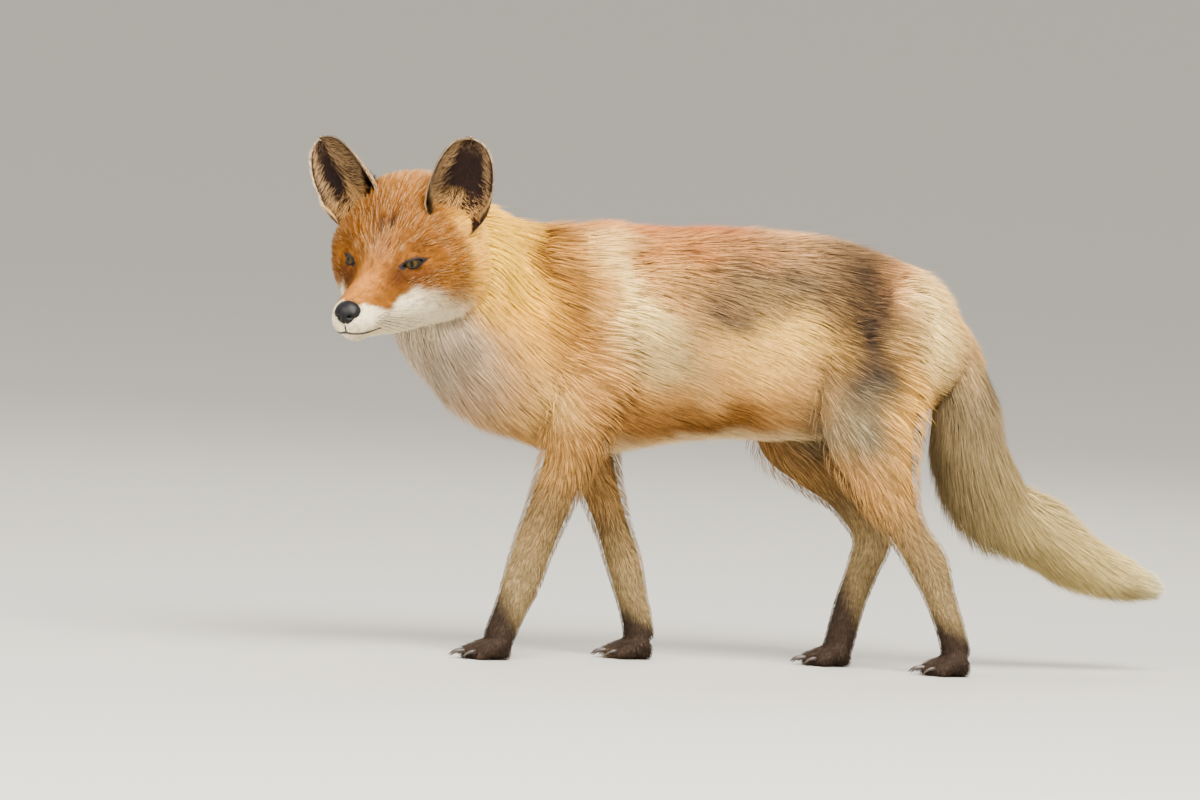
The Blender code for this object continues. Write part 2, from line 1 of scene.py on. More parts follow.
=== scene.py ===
# %% [markdown]
# # A red fox, life size
#
# The solids of the fox are already there, to the tips of its coat. This lesson dresses them: one skin that
# lies inside them by the depth of the coat, eyes with lids, a wet nose, claws and whiskers, and the coat
# itself, as about a quarter of a million small tufts of hair. Every shape is worked out with numpy.

import math

import bmesh
import bpy
import numpy as np
from mathutils import Matrix, Vector


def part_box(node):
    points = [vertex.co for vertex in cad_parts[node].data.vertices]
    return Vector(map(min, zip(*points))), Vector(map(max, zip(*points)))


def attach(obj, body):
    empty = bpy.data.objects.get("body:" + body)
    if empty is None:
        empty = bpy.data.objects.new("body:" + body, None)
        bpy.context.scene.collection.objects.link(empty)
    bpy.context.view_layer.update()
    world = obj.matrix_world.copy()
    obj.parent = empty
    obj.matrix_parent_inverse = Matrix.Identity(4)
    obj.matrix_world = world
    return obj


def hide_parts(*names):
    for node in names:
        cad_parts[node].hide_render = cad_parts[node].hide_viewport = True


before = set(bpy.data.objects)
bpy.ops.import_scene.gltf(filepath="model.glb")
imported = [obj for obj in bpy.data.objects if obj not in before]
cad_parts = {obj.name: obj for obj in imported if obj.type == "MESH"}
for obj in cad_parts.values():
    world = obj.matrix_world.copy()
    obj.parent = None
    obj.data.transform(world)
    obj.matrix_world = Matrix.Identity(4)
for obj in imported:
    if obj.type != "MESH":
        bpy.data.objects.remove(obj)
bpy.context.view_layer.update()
CM = 0.01

# %% [markdown]
# ## Where things are
#
# The fox faces -X, its left is -Y and its soles stand on Z = 0. Its head has a frame of its own: back from
# the nose tip, across to its left, and up, in centimetres. Almost everything on the head is easier to say in
# that frame, because both sides of a face are alike there. The left eye's ball tells where the frame lies.

# %% The head's frame
HEAD_TURN, HEAD_DOWN = math.radians(53), math.radians(15.5)
EYE_BALL = np.array((8.30, 2.65, 2.65))
EYE_RADIUS = 0.0088


def unit(v):
    """Every vector divided by its own length."""
    return v / np.maximum(np.linalg.norm(v, axis=-1, keepdims=True), 1e-12)


FORWARD = np.array((
    -math.cos(HEAD_TURN) * math.cos(HEAD_DOWN),
    -math.sin(HEAD_TURN) * math.cos(HEAD_DOWN),
    -math.sin(HEAD_DOWN),
))
LEFT = unit(np.cross((0.0, 0.0, 1.0), FORWARD))
UP = np.cross(FORWARD, LEFT)
HEAD_AXES = np.array((-FORWARD, LEFT, UP))
eye_middle = np.mean(np.array([list(corner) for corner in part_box("eye_left")], float), axis=0)
NOSE_TIP = eye_middle - EYE_BALL * CM @ HEAD_AXES
NOSE_STATION = np.array((-0.300, -0.150, 0.2995))  # m: the nose tip, as the stations below are counted
BODY_SHIFT = NOSE_TIP - NOSE_STATION


def from_head(p):
    """Points given back, left and up in cm of the head's frame, as points of the fox."""
    return NOSE_TIP + np.asarray(p, float) * CM @ HEAD_AXES


def to_head(p):
    """Points of the fox, as back, left and up in cm of the head's frame."""
    return (np.asarray(p, float) - NOSE_TIP) @ HEAD_AXES.T / CM


print("nose tip at", NOSE_TIP.round(4), "shift of the body", BODY_SHIFT.round(4))

# %% [markdown]
# ## Helpers for surfaces
#
# A tube is a profile carried along a path. The path and the profile's sizes are given at a few stations,
# and a Catmull-Rom spline runs through them: between b and c, with neighbours a and d, it is half of 2b +
# (c - a)t + (2a - 5b + 4c - d)t2 + (3b - a - 3c + d)t3. Whole arrays are computed at once.

# %% Splines, tubes and meshes


def spline(rows, steps=5):
    """Every column of the stations carried through a Catmull-Rom spline, steps rows to each gap."""
    p = np.asarray(rows, float)
    p = np.vstack([2 * p[:1] - p[1:2], p, 2 * p[-1:] - p[-2:-1]])
    t = (np.arange(steps) / steps)[None, :, None]
    a, b, c, d = (p[i : len(p) - 3 + i, None, :] for i in range(4))
    spans = (2 * b + (c - a) * t + (2 * a - 5 * b + 4 * c - d) * t**2 + (3 * b - a - 3 * c + d) * t**3) / 2
    return np.vstack([spans.reshape(-1, p.shape[1]), p[-2:-1]])


def path_frames(path, standing):
    """Along, across and outward at each point: level and up on a spine, sideways and ahead on a leg."""
    along = unit(np.gradient(path, axis=0))
    sideways = (0.0, 1.0, 0.0) if standing else np.cross(along, (0.0, 0.0, 1.0))
    across = unit(sideways - along * np.sum(sideways * along, axis=1, keepdims=True))
    outward = unit(np.cross(across, along))
    side = -outward[:, :1] if standing else outward[:, 2:]
    return along, across, outward * np.where(side < 0, -1.0, 1.0)


def smooth(low, high, x):
    """0 at low, 1 at high, and 3t2 - 2t3 between."""
    t = np.clip((x - low) / (high - low), 0.0, 1.0)
    return t * t * (3 - 2 * t)


def bell(*ratios):
    """A soft hump: exp(-(the ratios' squares, added)). It is 1 where they are nought, and 0.37 at 1."""
    return np.exp(-sum(ratio**2 for ratio in ratios))


def turns(count):
    """Equal steps of one turn."""
    return 2 * np.pi * np.arange(count) / count


def tube(path, across, outward, half_width, ahead, behind, sides=28):
    """A ring of points round each point of the path: outward times cos and across times sin of one turn."""
    turn = turns(sides)
    reach = np.where(np.cos(turn) > 0, ahead[:, None], behind[:, None]) * np.cos(turn)
    wide = half_width[:, None] * np.sin(turn)
    return path[:, None] + reach[..., None] * outward[:, None] + wide[..., None] * across[:, None]


def grid_quads(rows, columns, rows_join=False, columns_join=True):
    """Quads between the points of a grid. Where rows or columns join, the first follows the last."""
    row_gaps, column_gaps = (rows if rows_join else rows - 1), (columns if columns_join else columns - 1)
    i, j = np.meshgrid(np.arange(row_gaps), np.arange(column_gaps), indexing="ij")
    below, beside = (i + 1) % rows, (j + 1) % columns
    corners = (i * columns + j, i * columns + beside, below * columns + beside, below * columns + j)
    return np.stack(corners, axis=-1).reshape(-1, 4)


def closed_tube(grid):
    """The points and face arrays of a tube with a pole at each end, so that it holds water."""
    rows, columns, _ = grid.shape
    points = np.vstack([grid.reshape(-1, 3), grid[0].mean(axis=0), grid[-1].mean(axis=0)])
    j = np.arange(columns)
    k = (j + 1) % columns
    last = (rows - 1) * columns
    near = np.stack([np.full(columns, rows * columns), k, j], axis=-1)
    far = np.stack([np.full(columns, rows * columns + 1), last + j, last + k], axis=-1)
    return points, (grid_quads(rows, columns), near, far)


def face_outwards(mesh):
    """Turns every closed shell's faces to the outside."""
    bm = bmesh.new()
    bm.from_mesh(mesh)
    bmesh.ops.recalc_face_normals(bm, faces=bm.faces)
    bm.to_mesh(mesh)
    bm.free()
    mesh.shade_smooth()


def placed(name, data):
    """A new object of the scene, which shows a mesh, a light or a camera."""
    obj = bpy.data.objects.new(name, data)
    bpy.context.scene.collection.objects.link(obj)
    return obj


def mesh_object(name, parts):
    """One object from several parts, each of them points and face arrays, with its faces turned outwards."""
    points, faces, start = [], [], 0
    for part_points, face_arrays in parts:
        points.append(part_points)
        for array in face_arrays:
            faces.extend((array + start).tolist())
        start += len(part_points)
    mesh = bpy.data.meshes.new(name)
    mesh.from_pydata(np.vstack(points).tolist(), [], faces)
    mesh.update()
    obj = placed(name, mesh)
    face_outwards(mesh)
    return obj


def applied(obj):
    """The object's own mesh replaced by what its modifiers make of it."""
    graph = bpy.context.evaluated_depsgraph_get()
    mesh = bpy.data.meshes.new_from_object(obj.evaluated_get(graph))
    obj.modifiers.clear()
    obj.data = mesh
    return mesh


def rows_of(items, field, kind=float):
    """One field of each of a mesh's items, as rows of three."""
    flat = np.empty(len(items) * 3, kind)
    items.foreach_get(field, flat)
    return flat.reshape(-1, 3)


def mesh_points(mesh):
    """The mesh's points as an array of rows."""
    return rows_of(mesh.vertices, "co")


def move_points(mesh, points):
    """Puts the mesh's points at new places."""
    mesh.vertices.foreach_set("co", np.ascontiguousarray(points).ravel())
    mesh.update()


print("helpers ready")

# %% [markdown]
# ## The limbs under the coat
#
# The skin of a fox is slim: a third of what the eye sees of its trunk, and half of its tail, is hair. So
# each station says how deep the coat is there, and the skin's tube is smaller by that depth. The stations
# are those of the solids. A spine's sizes are half width, height above and depth below; a leg's are half
# width, reach ahead and reach behind. The last column is the depth of the coat.

# %% Stations
TRUNK = (
    (0.290, 0.000, 0.282, 0.012, 0.016, 0.020, 0.008),
    (0.264, 0.000, 0.288, 0.036, 0.044, 0.052, 0.014),
    (0.235, 0.000, 0.293, 0.053, 0.067, 0.074, 0.015),
    (0.200, 0.000, 0.297, 0.062, 0.077, 0.090, 0.016),
    (0.150, 0.000, 0.303, 0.061, 0.084, 0.103, 0.016),
    (0.100, 0.000, 0.305, 0.061, 0.086, 0.108, 0.016),
    (0.050, 0.000, 0.304, 0.066, 0.087, 0.109, 0.016),
    (0.000, 0.000, 0.301, 0.071, 0.088, 0.112, 0.016),
    (-0.050, 0.000, 0.299, 0.072, 0.091, 0.117, 0.017),
    (-0.090, 0.000, 0.298, 0.070, 0.092, 0.114, 0.019),
    (-0.130, -0.003, 0.302, 0.067, 0.093, 0.100, 0.020),
    (-0.166, -0.012, 0.319, 0.066, 0.087, 0.086, 0.020),
    (-0.198, -0.028, 0.340, 0.066, 0.077, 0.076, 0.018),
    (-0.226, -0.048, 0.352, 0.062, 0.064, 0.064, 0.015),
    (-0.244, -0.066, 0.358, 0.054, 0.052, 0.052, 0.012),
)
TAIL = (
    (0.250, 0.000, 0.318, 0.018, 0.020, 0.020, 0.008),
    (0.273, 0.002, 0.290, 0.029, 0.029, 0.029, 0.014),
    (0.289, 0.004, 0.255, 0.034, 0.034, 0.036, 0.018),
    (0.299, 0.010, 0.218, 0.039, 0.037, 0.043, 0.021),
    (0.312, 0.018, 0.184, 0.041, 0.040, 0.046, 0.023),
    (0.331, 0.028, 0.158, 0.040, 0.038, 0.044, 0.023),
    (0.371, 0.045, 0.133, 0.036, 0.035, 0.038, 0.021),
    (0.413, 0.062, 0.107, 0.030, 0.030, 0.031, 0.018),
    (0.455, 0.077, 0.090, 0.023, 0.023, 0.023, 0.014),
    (0.486, 0.087, 0.081, 0.015, 0.015, 0.015, 0.010),
    (0.500, 0.092, 0.078, 0.008, 0.008, 0.008, 0.005),
)
LEGS = {
    "foreleg_left": (
        (-0.035, -0.034, 0.335, 0.024, 0.030, 0.032, 0.010),
        (-0.058, -0.041, 0.275, 0.034, 0.048, 0.050, 0.014),
        (-0.066, -0.043, 0.220, 0.031, 0.038, 0.042, 0.012),
        (-0.075, -0.040, 0.174, 0.025, 0.029, 0.030, 0.009),
        (-0.085, -0.038, 0.142, 0.021, 0.024, 0.023, 0.006),
        (-0.100, -0.036, 0.097, 0.018, 0.021, 0.020, 0.004),
        (-0.109, -0.035, 0.068, 0.017, 0.018, 0.019, 0.003),
        (-0.118, -0.035, 0.040, 0.016, 0.016, 0.015, 0.0025),
        (-0.126, -0.035, 0.018, 0.017, 0.015, 0.014, 0.002),
    ),
    "foreleg_right": (
        (-0.035, 0.034, 0.335, 0.024, 0.030, 0.032, 0.010),
        (-0.052, 0.041, 0.275, 0.034, 0.048, 0.050, 0.014),
        (-0.046, 0.043, 0.215, 0.031, 0.038, 0.040, 0.012),
        (-0.032, 0.040, 0.168, 0.024, 0.028, 0.027, 0.009),
        (-0.016, 0.038, 0.123, 0.019, 0.020, 0.020, 0.006),
        (-0.003, 0.036, 0.086, 0.017, 0.018, 0.019, 0.004),
        (0.005, 0.035, 0.060, 0.016, 0.016, 0.016, 0.003),
        (0.012, 0.035, 0.036, 0.015, 0.015, 0.015, 0.0025),
        (0.016, 0.035, 0.018, 0.016, 0.015, 0.014, 0.002),
    ),
    "hindleg_left": (
        (0.215, -0.030, 0.330, 0.030, 0.036, 0.034, 0.010),
        (0.200, -0.042, 0.272, 0.037, 0.062, 0.056, 0.014),
        (0.198, -0.046, 0.215, 0.034, 0.056, 0.052, 0.013),
        (0.213, -0.044, 0.168, 0.027, 0.036, 0.036, 0.010),
        (0.234, -0.041, 0.130, 0.019, 0.021, 0.022, 0.006),
        (0.256, -0.038, 0.099, 0.017, 0.019, 0.022, 0.004),
        (0.270, -0.036, 0.070, 0.015, 0.015, 0.016, 0.003),
        (0.282, -0.035, 0.042, 0.015, 0.014, 0.014, 0.0025),
        (0.290, -0.035, 0.018, 0.016, 0.015, 0.013, 0.002),
    ),
    "hindleg_right": (
        (0.205, 0.030, 0.330, 0.030, 0.036, 0.034, 0.010),
        (0.176, 0.042, 0.270, 0.037, 0.062, 0.056, 0.014),
        (0.145, 0.046, 0.212, 0.034, 0.046, 0.050, 0.013),
        (0.166, 0.044, 0.180, 0.027, 0.032, 0.036, 0.010),
        (0.196, 0.041, 0.155, 0.020, 0.022, 0.024, 0.006),
        (0.222, 0.038, 0.120, 0.018, 0.019, 0.022, 0.004),
        (0.216, 0.036, 0.088, 0.015, 0.016, 0.017, 0.003),
        (0.206, 0.035, 0.056, 0.015, 0.015, 0.015, 0.0025),
        (0.198, 0.035, 0.018, 0.016, 0.015, 0.014, 0.002),
    ),
}
# The head, in cm of its own frame: back, level of the widest line, half width, above, below, coat.
HEAD = (
    (0.25, -0.60, 1.10, 0.90, 1.00, 0.10),
    (0.90, -0.60, 1.65, 1.50, 1.75, 0.12),
    (1.80, -0.60, 1.90, 1.95, 2.15, 0.14),
    (3.20, -0.60, 2.10, 2.40, 2.30, 0.18),
    (4.80, -0.60, 2.40, 2.90, 2.60, 0.18),
    (6.20, -0.30, 3.00, 3.50, 3.20, 0.22),
    (7.50, 0.30, 4.00, 4.50, 4.15, 0.30),
    (9.00, 1.20, 5.25, 5.50, 5.40, 0.50),
    (10.50, 1.60, 6.30, 6.60, 6.10, 0.75),
    (12.00, 1.70, 6.90, 7.25, 6.50, 1.00),
    (13.50, 1.80, 7.00, 7.35, 6.70, 1.20),
    (15.00, 2.00, 6.30, 6.80, 6.40, 1.20),
    (16.20, 2.20, 4.60, 4.80, 4.80, 1.00),
)
HEAD_FORMS = (  # back, left, up, reach, height
    (8.2, 3.4, 2.6, 1.35, -0.55),
    (11.6, 4.7, 6.4, 1.60, -0.85),
    (6.6, 1.7, 3.1, 1.00, -0.28),
    (8.0, 2.4, 4.6, 1.10, 0.30),
    (9.3, 4.9, 0.7, 1.70, 0.08),
    (12.6, 6.6, -1.6, 2.20, 0.75),
    (2.2, 1.6, -0.6, 1.00, 0.16),
    (5.2, 2.0, 0.9, 1.20, -0.22),
)
print("stations:", len(TRUNK) + len(TAIL) + len(HEAD) + sum(len(leg) for leg in LEGS.values()))

# %% [markdown]
# Each limb is kept as a small record: its path, its frames, its sizes at the coat's tips, and the coat. The
# skin, the lie of the hair, the markings and the unwrap all read these records, so they always agree.

# %% Limbs


def limb(stations, standing, head=False):
    """A limb's record: its path, the directions and sizes at each point of it, and the coat there."""
    rows = spline(stations, 6)
    if head:
        path = from_head(np.stack([rows[:, 0], np.zeros(len(rows)), rows[:, 1]], axis=1))
        sizes, coat = rows[:, 2:5] * CM, rows[:, 5] * CM
        along, across, outward = (np.tile(axis, (len(rows), 1)) for axis in HEAD_AXES)
    else:
        path = rows[:, :3] + BODY_SHIFT
        sizes, coat = rows[:, 3:6], rows[:, 6]
        along, across, outward = path_frames(path, standing)
    return {"path": path, "along": along, "across": across, "outward": outward, "sizes": sizes, "coat": coat}


LIMBS = {"trunk": limb(TRUNK, False), "tail": limb(TAIL, False), "head": limb(HEAD, False, head=True)}
for leg_name, leg_stations in LEGS.items():
    LIMBS[leg_name] = limb(leg_stations, True)


LEAST_RADIUS = 0.0025


def skin_tube(record):
    """The limb's tube, drawn in by the depth of the coat, but never under LEAST_RADIUS."""
    sizes = np.maximum(record["sizes"] - record["coat"][:, None], LEAST_RADIUS)
    return tube(record["path"], record["across"], record["outward"], *sizes.T)


def with_head_forms(grid):
    """Swells the head: each point moves outwards by height times exp(-(distance / reach) squared)."""
    p = to_head(grid)
    outward = unit((p - (0.0, 0.0, 0.6)) * (0, 1, 1))
    for back, left, up, reach, height in HEAD_FORMS:
        away = np.stack([p[..., 0] - back, np.abs(p[..., 1]) - left, p[..., 2] - up], axis=-1)
        p = p + outward * (height * np.exp(-np.sum(away**2, axis=-1) / reach**2))[..., None]
    jaw = smooth(-1.55, -2.1, p[..., 2]) * smooth(8.5, 5.5, p[..., 0])
    p[..., 1] *= 1 - 0.14 * jaw
    p[..., 0] += 0.25 * jaw * smooth(2.0, 0.4, p[..., 0])
    return from_head(p)


for name, record in LIMBS.items():
    print(name, "length", np.linalg.norm(np.diff(record["path"], axis=0), axis=1).sum().round(3))

# %% [markdown]
# ## Paws
#
# A fox's foot is a heel pad and four toes, each toe a short tube that arches over its joint and comes
# down to the floor. A claw curves out of each. The toes go into the skin; the claws stay pieces of their
# own.

# %% Toes, pads and claws
TOES = ((-0.0135, 0.022), (-0.0047, 0.031), (0.0047, 0.031), (0.0135, 0.022))  # across, reach
TOE_RADIUS = 0.0066


def plain_tube(rows, sides=14, steps=4):
    """A round tube through stations of x, y, z, half width, above and below."""
    rows = spline(rows, steps)
    path = rows[:, :3] + BODY_SHIFT
    _, across, outward = path_frames(path, False)
    return tube(path, across, outward, *rows[:, 3:6].T, sides=sides)


foot_tubes, claw_tubes = [], []
for stations in LEGS.values():
    ankle_x, ankle_y = stations[-1][:2]
    foot_tubes.append(plain_tube((
        (ankle_x + 0.010, ankle_y, 0.0085, 0.008, 0.007, 0.008),
        (ankle_x + 0.001, ankle_y, 0.0080, 0.0145, 0.009, 0.0080),
        (ankle_x - 0.012, ankle_y, 0.0080, 0.0112, 0.008, 0.0080),
    )))
    for across, reach in TOES:
        r = TOE_RADIUS
        foot_tubes.append(plain_tube((
            (ankle_x + 0.004, ankle_y + across * 0.8, 0.0155, r, r, r),
            (ankle_x - reach * 0.35, ankle_y + across, 0.0113, r, r, r),
            (ankle_x - reach * 0.75, ankle_y + across, 0.0064, r, r, r * 0.96),
            (ankle_x - reach * 1.03, ankle_y + across * 0.97, 0.0050, r * 0.74, r * 0.76, r * 0.74),
        )))
        tip = ankle_x - reach * 1.05
        claw_tubes.append(plain_tube((
            (tip + 0.006, ankle_y + across * 0.97, 0.0066, 0.0016, 0.0021, 0.0021),
            (tip - 0.001, ankle_y + across * 0.97, 0.0070, 0.0014, 0.0019, 0.0018),
            (tip - 0.0065, ankle_y + across * 0.97, 0.0056, 0.0010, 0.0013, 0.0012),
            (tip - 0.0105, ankle_y + across * 0.96, 0.0024, 0.0003, 0.0004, 0.0004),
        ), sides=10))
print("foot tubes:", len(foot_tubes), "claws:", len(claw_tubes))

# %% [markdown]
# ## One skin
#
# The tubes pass through each other at shoulder, hip and neck. A voxel remesh keeps only their common
# outside, and a few rounds of smoothing melt the joins, as skin does. Sculpting one mesh by hand would
# look as good, but tubes are easier to check against the animal's measurements.

# %% Fuse the tubes
SKIN_VOXEL = 0.00242
skin_parts = [closed_tube(skin_tube(record)) for name, record in LIMBS.items() if name != "head"]
skin_parts.append(closed_tube(with_head_forms(skin_tube(LIMBS["head"]))))
skin_parts.extend(closed_tube(grid) for grid in foot_tubes)
skin = mesh_object("skin", skin_parts)
fuse = skin.modifiers.new("fuse", "REMESH")
fuse.mode = "VOXEL"
fuse.voxel_size = SKIN_VOXEL
melt = skin.modifiers.new("melt", "SMOOTH")
melt.factor = 0.5
melt.iterations = 8
applied(skin)
skin_points = mesh_points(skin.data)
skin_points[:, 2] = np.maximum(skin_points[:, 2], 0.0003)
move_points(skin.data, skin_points)
print("skin points:", len(skin_points), "lowest", skin_points[:, 2].min().round(5))

# %% [markdown]
# ## The lie of the land
#
# For any point we often need to know which limb it belongs to and where on it: how far along, at what turn
# round it, and how far out in units of the limb's own radius. The nearest of a limb's path points answers
# that. A soft vote, exp(-7 times the ratio), shares a point between limbs that meet there.

# %% Limb coordinates


BLOCK = 20000  # points looked at together, so that the table of distances stays small


def limb_place(points, record):
    """(share of the way along, turn round it, ratio of distance to radius, nearest row) of each point."""
    path = record["path"]
    near = np.empty(len(points), int)
    for first in range(0, len(points), BLOCK):
        block = points[first : first + BLOCK]
        square = ((block[:, None] - path[None]) ** 2).sum(axis=-1)
        near[first : first + BLOCK] = square.argmin(axis=1)
    away = points - path[near]
    u = np.sum(away * record["outward"][near], axis=1)
    v = np.sum(away * record["across"][near], axis=1)
    w = np.sum(away * record["along"][near], axis=1)
    width, ahead, behind = record["sizes"][near].T
    reach = np.where(u > 0, ahead, behind)
    ratio = np.sqrt((u / reach) ** 2 + (v / width) ** 2 + (w / np.maximum(reach, width)) ** 2)
    return near / (len(path) - 1), np.arctan2(v, u), ratio, near


def places(points):
    """Every limb's coordinates, and the limbs' shares, which add up to one. The face is all head."""
    found = {name: limb_place(points, record) for name, record in LIMBS.items()}
    votes = np.stack([np.exp(-7 * found[name][2]) for name in LIMBS], axis=1)
    h = to_head(points)
    face = smooth(15.0, 11.0, h[:, 0]) * smooth(-8.0, -5.0, h[:, 2])
    votes *= np.where(np.array([name == "head" for name in LIMBS]), 1.0, 1.0 - face[:, None])
    shares = votes / votes.sum(axis=1, keepdims=True)
    return found, dict(zip(LIMBS, shares.T))


def blob(p, centre, reach):
    """exp(-(distance / reach) squared), with a reach for each axis."""
    return np.exp(-(((p - np.asarray(centre)) / np.asarray(reach)) ** 2).sum(axis=-1))


def ripple(points, wavelength, seed, waves=7):
    """Smooth noise near 1 at most: the sum of a few sine waves, over the root of their number."""
    rng = np.random.default_rng(seed)
    direction = unit(rng.normal(size=(waves, 3))) * (2 * np.pi / wavelength)
    direction = direction * rng.uniform(0.7, 1.4, (waves, 1))
    phase = rng.uniform(0, 2 * np.pi, waves)
    return np.sin(points @ direction.T + phase).sum(axis=1) / math.sqrt(waves)


print("limb coordinates ready")

# %% [markdown]
# ## Markings
#
# A red fox is not one red. Its face is rust and white, the neck has a pale golden flare, the shoulder is
# ochre shaded with dark hair, a cream bar lies behind it, the saddle is grizzled, a dark band crosses the
# hip, the rump is pale and the tail grey-buff with a dark spot on top and a white tip. The markings are a
# function of place: a ground colour for each limb, and soft patches laid over it. Skin and coat both read
# it. The patches are given seen from the side (x and z), and are the same on both sides of the body.

# %% Tones of hair


def tone(red, green, blue):
    """A hair's colour, as the percentage of red, green and blue light that it returns."""
    return np.array((red, green, blue), float) / 100


RUST = tone(9, 2.8, 0.6)
OCHRE = tone(60, 30, 8)
GOLD = tone(98, 46, 2)
SADDLE = tone(2.4, 2.5, 3.2)
DARK_BAND = tone(0.8, 0.8, 1.0)
WHITE = tone(96, 81, 52)
SOCK = tone(4.0, 2.6, 1.8)
BLACK = tone(1.2, 1.0, 1.0)
EAR_DARK = tone(6.0, 3.6, 2.0)

SIDE_ZERO = 0.0994  # m: the stations' x where the patches' own x is nought
# Patches: x, z, reach along, reach up, lean (x gained for each unit of z), colour, strength.
BODY_PATCHES = (
    (-0.080, 0.394, 0.210, 0.036, 0.0, tone(30, 5.0, 0.5), 0.94),  # reddish back
    (0.060, 0.385, 0.070, 0.030, 0.0, tone(80, 47, 18), 0.72),  # browner over the loins
    (-0.214, 0.322, 0.036, 0.060, -0.2, GOLD, 0.85),  # golden flare of the neck
    (-0.246, 0.352, 0.034, 0.050, 0.0, tone(98, 55, 2.5), 0.90),  # palest behind the cheek
    (-0.198, 0.352, 0.016, 0.034, -0.5, tone(9, 2.2, 0.3), 0.90),  # dark hair before the shoulder
    (-0.176, 0.300, 0.022, 0.050, -0.3, tone(19, 6.8, 0.9), 0.78),
    (-0.196, 0.225, 0.024, 0.030, 0.0, tone(98, 60, 18), 0.70),
    (-0.122, 0.318, 0.021, 0.050, -0.45, tone(98, 70, 24), 1.00),  # cream bar behind the shoulder
    (-0.088, 0.272, 0.036, 0.028, -0.3, tone(38, 27, 11), 0.82),
    (-0.036, 0.314, 0.053, 0.030, 0.15, SADDLE, 0.95),  # grizzled saddle
    (0.024, 0.340, 0.056, 0.032, 0.0, tone(13, 9.5, 6.3), 0.85),
    (0.020, 0.288, 0.052, 0.030, 0.0, tone(98, 58, 12), 0.90),  # cream flank
    (0.060, 0.256, 0.034, 0.024, 0.0, tone(72, 38, 11), 0.70),
    # The orange edge of the belly is partly real orange and partly painted shade of the underside.
    (-0.050, 0.208, 0.110, 0.032, 0.0, tone(13, 4.4, 0.6), 0.92),  # orange edge of the belly
    (0.084, 0.350, 0.036, 0.032, -0.3, DARK_BAND, 0.86),  # dark band of the hip
    (0.097, 0.305, 0.043, 0.048, 0.1, DARK_BAND, 0.97),
    (0.103, 0.258, 0.039, 0.036, 0.1, tone(2.0, 1.7, 1.9), 0.96),
    (0.126, 0.352, 0.022, 0.030, 0.0, tone(74, 33, 12), 0.75),  # brown top of the rump
    (0.159, 0.305, 0.024, 0.055, -0.2, tone(98, 70, 26), 0.98),  # pale rump
    (0.084, 0.214, 0.042, 0.036, 0.0, tone(24, 20.5, 12.5), 0.88),  # grey thigh
    (0.138, 0.225, 0.020, 0.040, 0.0, tone(98, 50, 8), 0.85),  # warm back of the thigh
)
# Where dark-tipped guard hairs stand in the coat: x, z, reach along, reach up, share of the hairs.
GRIZZLE = (
    (-0.196, 0.345, 0.030, 0.050, 0.30),
    (-0.190, 0.240, 0.050, 0.060, 0.22),
    (-0.020, 0.340, 0.090, 0.035, 0.50),
    (0.085, 0.310, 0.045, 0.080, 0.45),
    (0.085, 0.215, 0.050, 0.050, 0.30),
)
TAIL_STOPS = (0.0, 0.10, 0.22, 0.45, 0.70, 0.86, 0.93, 1.0)  # shares of the way from root to tip
TAIL_TONES = np.array((
    tone(84, 56, 20), tone(50, 30, 11.5), tone(24, 17, 8.5), tone(32, 23, 10),
    tone(54, 40, 15), tone(62, 48, 19), tone(66, 56, 30), tone(66, 58, 32),
))
# How much darker the leg is at the elbow and knee than the side above it: painted shade under the body,
# strongest on the far legs.
LEG_PAINTED_SHADE = {"foreleg_left": 0.36, "foreleg_right": 0.40, "hindleg_left": 0.08, "hindleg_right": 0.50}
print("tones in percent of light returned; patches:", len(BODY_PATCHES))

# %% [markdown]
# The face has its own map, in the head's frame: a pale tan bridge, rust round the eyes, two dark strokes
# over the inner brows, white lips, cheeks and throat, and a wavy border between rust and white that
# climbs behind the corner of the mouth.

# %% The markings


def blend(colour, other, amount):
    """Between two colours, or two lists of them, by an amount for each point."""
    return colour + (other - colour) * np.clip(amount, 0, 1)[:, None]


FACE_PATCHES = (  # colour, middle (back, to the side, up), reach along each of them, strength
    (tone(11, 3.4, 0.4), (9.2, 0.8, 6.4), (2.2, 3.4, 1.8), 0.75),  # darker crown
    (tone(39, 15, 2.7), (3.6, 0.0, 1.8), (3.0, 1.5, 1.6), 0.95),  # tan bridge
    (tone(23, 11, 4.2), (6.8, 0.2, 4.4), (1.5, 1.0, 1.6), 0.70),  # brown between the eyes
    (RUST, (7.6, 3.5, 1.5), (2.3, 1.9, 1.2), 0.95),  # rust under the eye
    (tone(6.2, 1.9, 0.4), (6.2, 2.1, 1.8), (1.9, 1.1, 1.6), 0.95),  # dark wedge before the eye
    (tone(15.5, 5.3, 0.9), (8.4, 3.2, 4.1), (1.6, 1.8, 0.9), 0.90),  # rust over the eye
)
# Middle (back, left, up) and strength.
BROW_STROKES = (((8.1, 0.10, 5.45), 1.0), ((8.4, 0.95, 5.65), 1.0), ((8.4, -0.75, 5.6), 0.5))
# The border between rust and white: how far up it is, at places from the nose back.
WHITE_BACK = (0.4, 1.4, 2.0, 3.3, 4.4, 5.0, 6.0, 7.0, 7.9, 9.0, 11.2, 12.9, 16.0)
WHITE_UP = (0.9, 0.75, 0.40, -0.15, -0.50, -0.35, 0.18, 0.36, 0.00, -0.60, -1.3, -2.6, -4.5)


